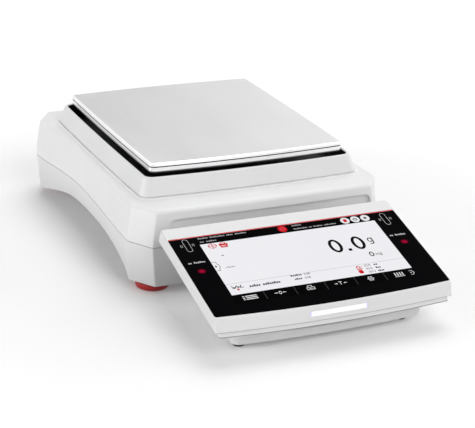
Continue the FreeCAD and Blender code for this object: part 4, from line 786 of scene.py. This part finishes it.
# Black for printed marks, and for painted shade in holes and recesses.
print_and_shade_black = printed("mark_and_shade_black", (0.01, 0.01, 0.01), (0.016, 0.016, 0.016), 1 * mm, 0.5, 0.5)
vial_low, vial_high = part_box("level_vial")
vial_top = flat_face(((vial_low.x + vial_high.x) / 2, (vial_low.y + vial_high.y) / 2, vial_high.z),
                     (1, 0, 0), (0, -1, 0), (0, 0, 1))
Layer((0.02, 0.06), vial_top, "root").ring(oval(0, 0, 3.0, 3.0), oval(0, 0, 2.7, 2.7)).piece(
    "level_mark", print_and_shade_black, "black_plastic")
bubble = Paint("level_bubble", Coat_Weight=1.0, Coat_Roughness=0.02, Roughness=0.1)
bubble.feed(Base_Color=bubble.mix(rgba(0.86, 0.92, 0.50), rgba(0.80, 0.88, 0.42), bubble.noise(2 * mm)))


def dome(layer, x, s, radius, rounds=6, count=32):
    """Low dome: circles shrunk to shares a of the radius, at low + (high - low) (1 - a * a)."""
    low, high = layer.heights
    rows = []
    for a in np.linspace(1.0, 0.15, rounds):
        loop = oval(x, s, radius * a, radius * a, count)
        rows.append(layer.place(loop[:, 0], loop[:, 1], low + (high - low) * (1 - a * a)))
    wraps = [(k + i, k + (i + 1) % count, k + count + (i + 1) % count, k + count + i)
             for k in range(0, (rounds - 1) * count, count) for i in range(count)]
    caps = [range(count), range((rounds - 1) * count, rounds * count)]
    layer.put(np.concatenate(rows), caps + wraps)
    return layer


dome(Layer((0.02, 0.32), vial_top, "root"), 0.5, -0.3, 2.1).piece("level_bubble", bubble, "vial_glass")
gold = turned_metal("contact_gold", (0.80, 0.62, 0.28), 0.25)


def socket_face(name):
    """Flat millimetres on a rear socket's mouth, seen from behind. Depths inside it are below 0."""
    low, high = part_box(name)
    return flat_face(((low.x + high.x) / 2, high.y, (low.z + high.z) / 2), (-1, 0, 0), (0, 0, -1), (0, 1, 0))


wires = Layer((-8.5, -2.0), socket_face("network_port"), "root")
for wire in range(8):
    wire_x = 1.02 * wire - 3.8
    wires.plate(soft_box(wire_x, wire_x + 0.45, -3.9, -3.3, 0.1, 2))
wires.piece("network_contacts", gold, "brass")
# Painted shade: the serial socket's holes are black dots.
holes = Layer((-0.37, -0.30), socket_face("serial_port"), "root")
hole_step = 2.77
for count, row_s in ((5, -1.4), (4, 1.4)):
    for hole in range(count):
        holes.plate(oval((hole - (count - 1) / 2) * hole_step, row_s, 0.55, 0.55, 20))
holes.piece("serial_hole_shade", print_and_shade_black, "black_plastic")
strip_places = {"device_port": ((-1.6, 1.6), (-1.75, 1.75)), "host_port": ((-4.2, -1.4, 1.4, 4.2), (1.05,))}
for name, (all_x, all_s) in strip_places.items():
    strips = Layer((-8.0, -1.4), socket_face(name), "root")
    for strip_x in all_x:
        for strip_s in all_s:
            strips.plate(soft_box(strip_x - 0.5, strip_x + 0.5, strip_s - 0.08, strip_s + 0.08, 0.03, 2))
    strips.piece(name + "_contacts", gold, "brass")


def cross_recess_shade(layer, x, s, reach, half=0.32):
    """Painted shade: a plus-shaped black mark where a cross recess is."""
    layer.plate(np.array([(x + u, s + v) for u, v in (
        (-half, -reach), (half, -reach), (half, -half), (reach, -half), (reach, half), (half, half),
        (half, reach), (-half, reach), (-half, half), (-reach, half), (-reach, -half), (-half, -half))]))


screw_low, screw_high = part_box("housing_screws")
screw_head_r = 3 * mm
under = flat_face((0, 0, screw_low.z), (1, 0, 0), (0, 1, 0), (0, 0, -1))
marks = Layer((0.01, 0.05), under, "root")
for x in (screw_low.x + screw_head_r, screw_high.x - screw_head_r):
    for y in (screw_low.y + screw_head_r, screw_high.y - screw_head_r):
        cross_recess_shade(marks, float(x) / mm, float(y) / mm, 1.6)
marks.piece("screw_recess_shade", print_and_shade_black, "black_plastic")

# The studio is a white floor with a large soft light over the right rear, weaker ones at
# the left, front and right, and an even white room. The camera and mirrors see the floor a
# little brighter than it is lit, and quite white far from the balance.
floor_size = 12.0
floor = bpy.data.objects.new("studio_floor", bpy.data.meshes.new("studio_floor"))
half = floor_size / 2
floor.data.from_pydata([(-half, -half, 0), (half, -half, 0), (half, half, 0), (-half, half, 0)], [],
                       [(0, 1, 2, 3)])
bpy.context.scene.collection.objects.link(floor)
floor_paint = Paint("floor_white", Base_Color=rgba(0.86, 0.86, 0.86), Roughness=0.9, Specular_IOR_Level=0.0,
                    Emission_Strength=1.0)
seeing_rays = ("Is Camera Ray", "Is Glossy Ray", "Is Transmission Ray")
rays = floor_paint.node("LightPath")
seen_share = rays.out(seeing_rays[0])
for kind in seeing_rays[1:]:
    seen_share = seen_share + rays.out(kind)
floor_x, floor_y = floor_paint.axes()[:2]
away = (floor_x * floor_x + floor_y * floor_y).math("SQRT")
glare = floor_paint.mix(rgba(0.13, 0.13, 0.13), rgba(0.22, 0.22, 0.22), away.step(0.18, 0.40))
glare = floor_paint.mix(glare, rgba(0.9, 0.9, 0.9), away.step(0.6, 2.0))
floor_paint.feed(Emission_Color=floor_paint.mix(rgba(0, 0, 0), glare, seen_share))
floor.data.materials.append(floor_paint.material)
light_aim = np.array([0, 0, 0.05])


def soft_light(name, place, size, power):
    """Square area light that points from place at the balance."""
    lamp = bpy.data.lights.new(name, "AREA")
    lamp.size = size
    lamp.energy = power
    made = bpy.data.objects.new(name, lamp)
    bpy.context.scene.collection.objects.link(made)
    made.location = place
    direction = light_aim - np.array(place)
    made.rotation_euler = (math.atan2(np.hypot(direction[0], direction[1]), -direction[2]), 0,
                           math.atan2(direction[1], direction[0]) - math.pi / 2)


for name, place, size, power in (
        ("key_over_rear", (0.8, 0.9, 2.2), 1.8, 30.5),
        ("fill_left", (-2.2, 0.1, 0.5), 1.0, 22.0),
        ("fill_front_low", (0.3, -2.3, 0.5), 1.0, 7.0),
        ("fill_front_high", (0.2, -1.8, 1.5), 1.0, 14.0),
        ("fill_right", (1.9, -0.6, 1.0), 1.0, 7.5)):
    soft_light(name, place, size, power)

room_light = 0.26
pure_white = 1.0
world = bpy.data.worlds.new("studio")
world.use_nodes = True
bpy.context.scene.world = world
sky = world.node_tree.nodes["Background"]
path = world.node_tree.nodes.new("ShaderNodeLightPath")
seen = world.node_tree.nodes.new("ShaderNodeMapRange")
seeing = path.outputs[seeing_rays[0]]
for kind in seeing_rays[1:]:
    most = world.node_tree.nodes.new("ShaderNodeMath")
    most.operation = "MAXIMUM"
    world.node_tree.links.new(seeing, most.inputs[0])
    world.node_tree.links.new(path.outputs[kind], most.inputs[1])
    seeing = most.outputs["Value"]
world.node_tree.links.new(seeing, seen.inputs["Value"])
seen.inputs["To Min"].default_value = room_light
seen.inputs["To Max"].default_value = pure_white
world.node_tree.links.new(seen.outputs["Result"], sky.inputs["Strength"])
sky.inputs["Color"].default_value = (1, 1, 1, 1)

# The camera stands where the photograph was taken: in front, to the left and above. Its
# lens and the point behind its picture's middle were fitted to the balance's edges.
view_side = math.radians(-23.89)
view_down = math.radians(21.66)
view_roll = math.radians(1.84)
view_distance = 1.28695
view_target = np.array([-0.04631, pan_middle.y - 0.09050, 0.050])
photo_width = 475.0
photo_height = 428.0
focal_pixels = 1551.1
centre_pixel = (192.51, 210.52)
camera_data = bpy.data.cameras.new("camera")
camera = bpy.data.objects.new("camera", camera_data)
bpy.context.scene.collection.objects.link(camera)
back = np.array([math.sin(view_side) * math.cos(view_down), -math.cos(view_side) * math.cos(view_down),
                 math.sin(view_down)])
camera.location = view_target + back * view_distance
camera.rotation_mode = "QUATERNION"
aim = Vector(-back).to_track_quat("-Z", "Y")
camera.rotation_quaternion = aim @ Quaternion((0, 0, 1), view_roll)
camera_data.sensor_width = 36.0
camera_data.lens = focal_pixels * camera_data.sensor_width / photo_width
camera_data.shift_x = (photo_width / 2 - centre_pixel[0]) / photo_width
camera_data.shift_y = (centre_pixel[1] - photo_height / 2) / photo_width
bpy.context.scene.camera = camera
bpy.context.scene.view_settings.view_transform = "Standard"
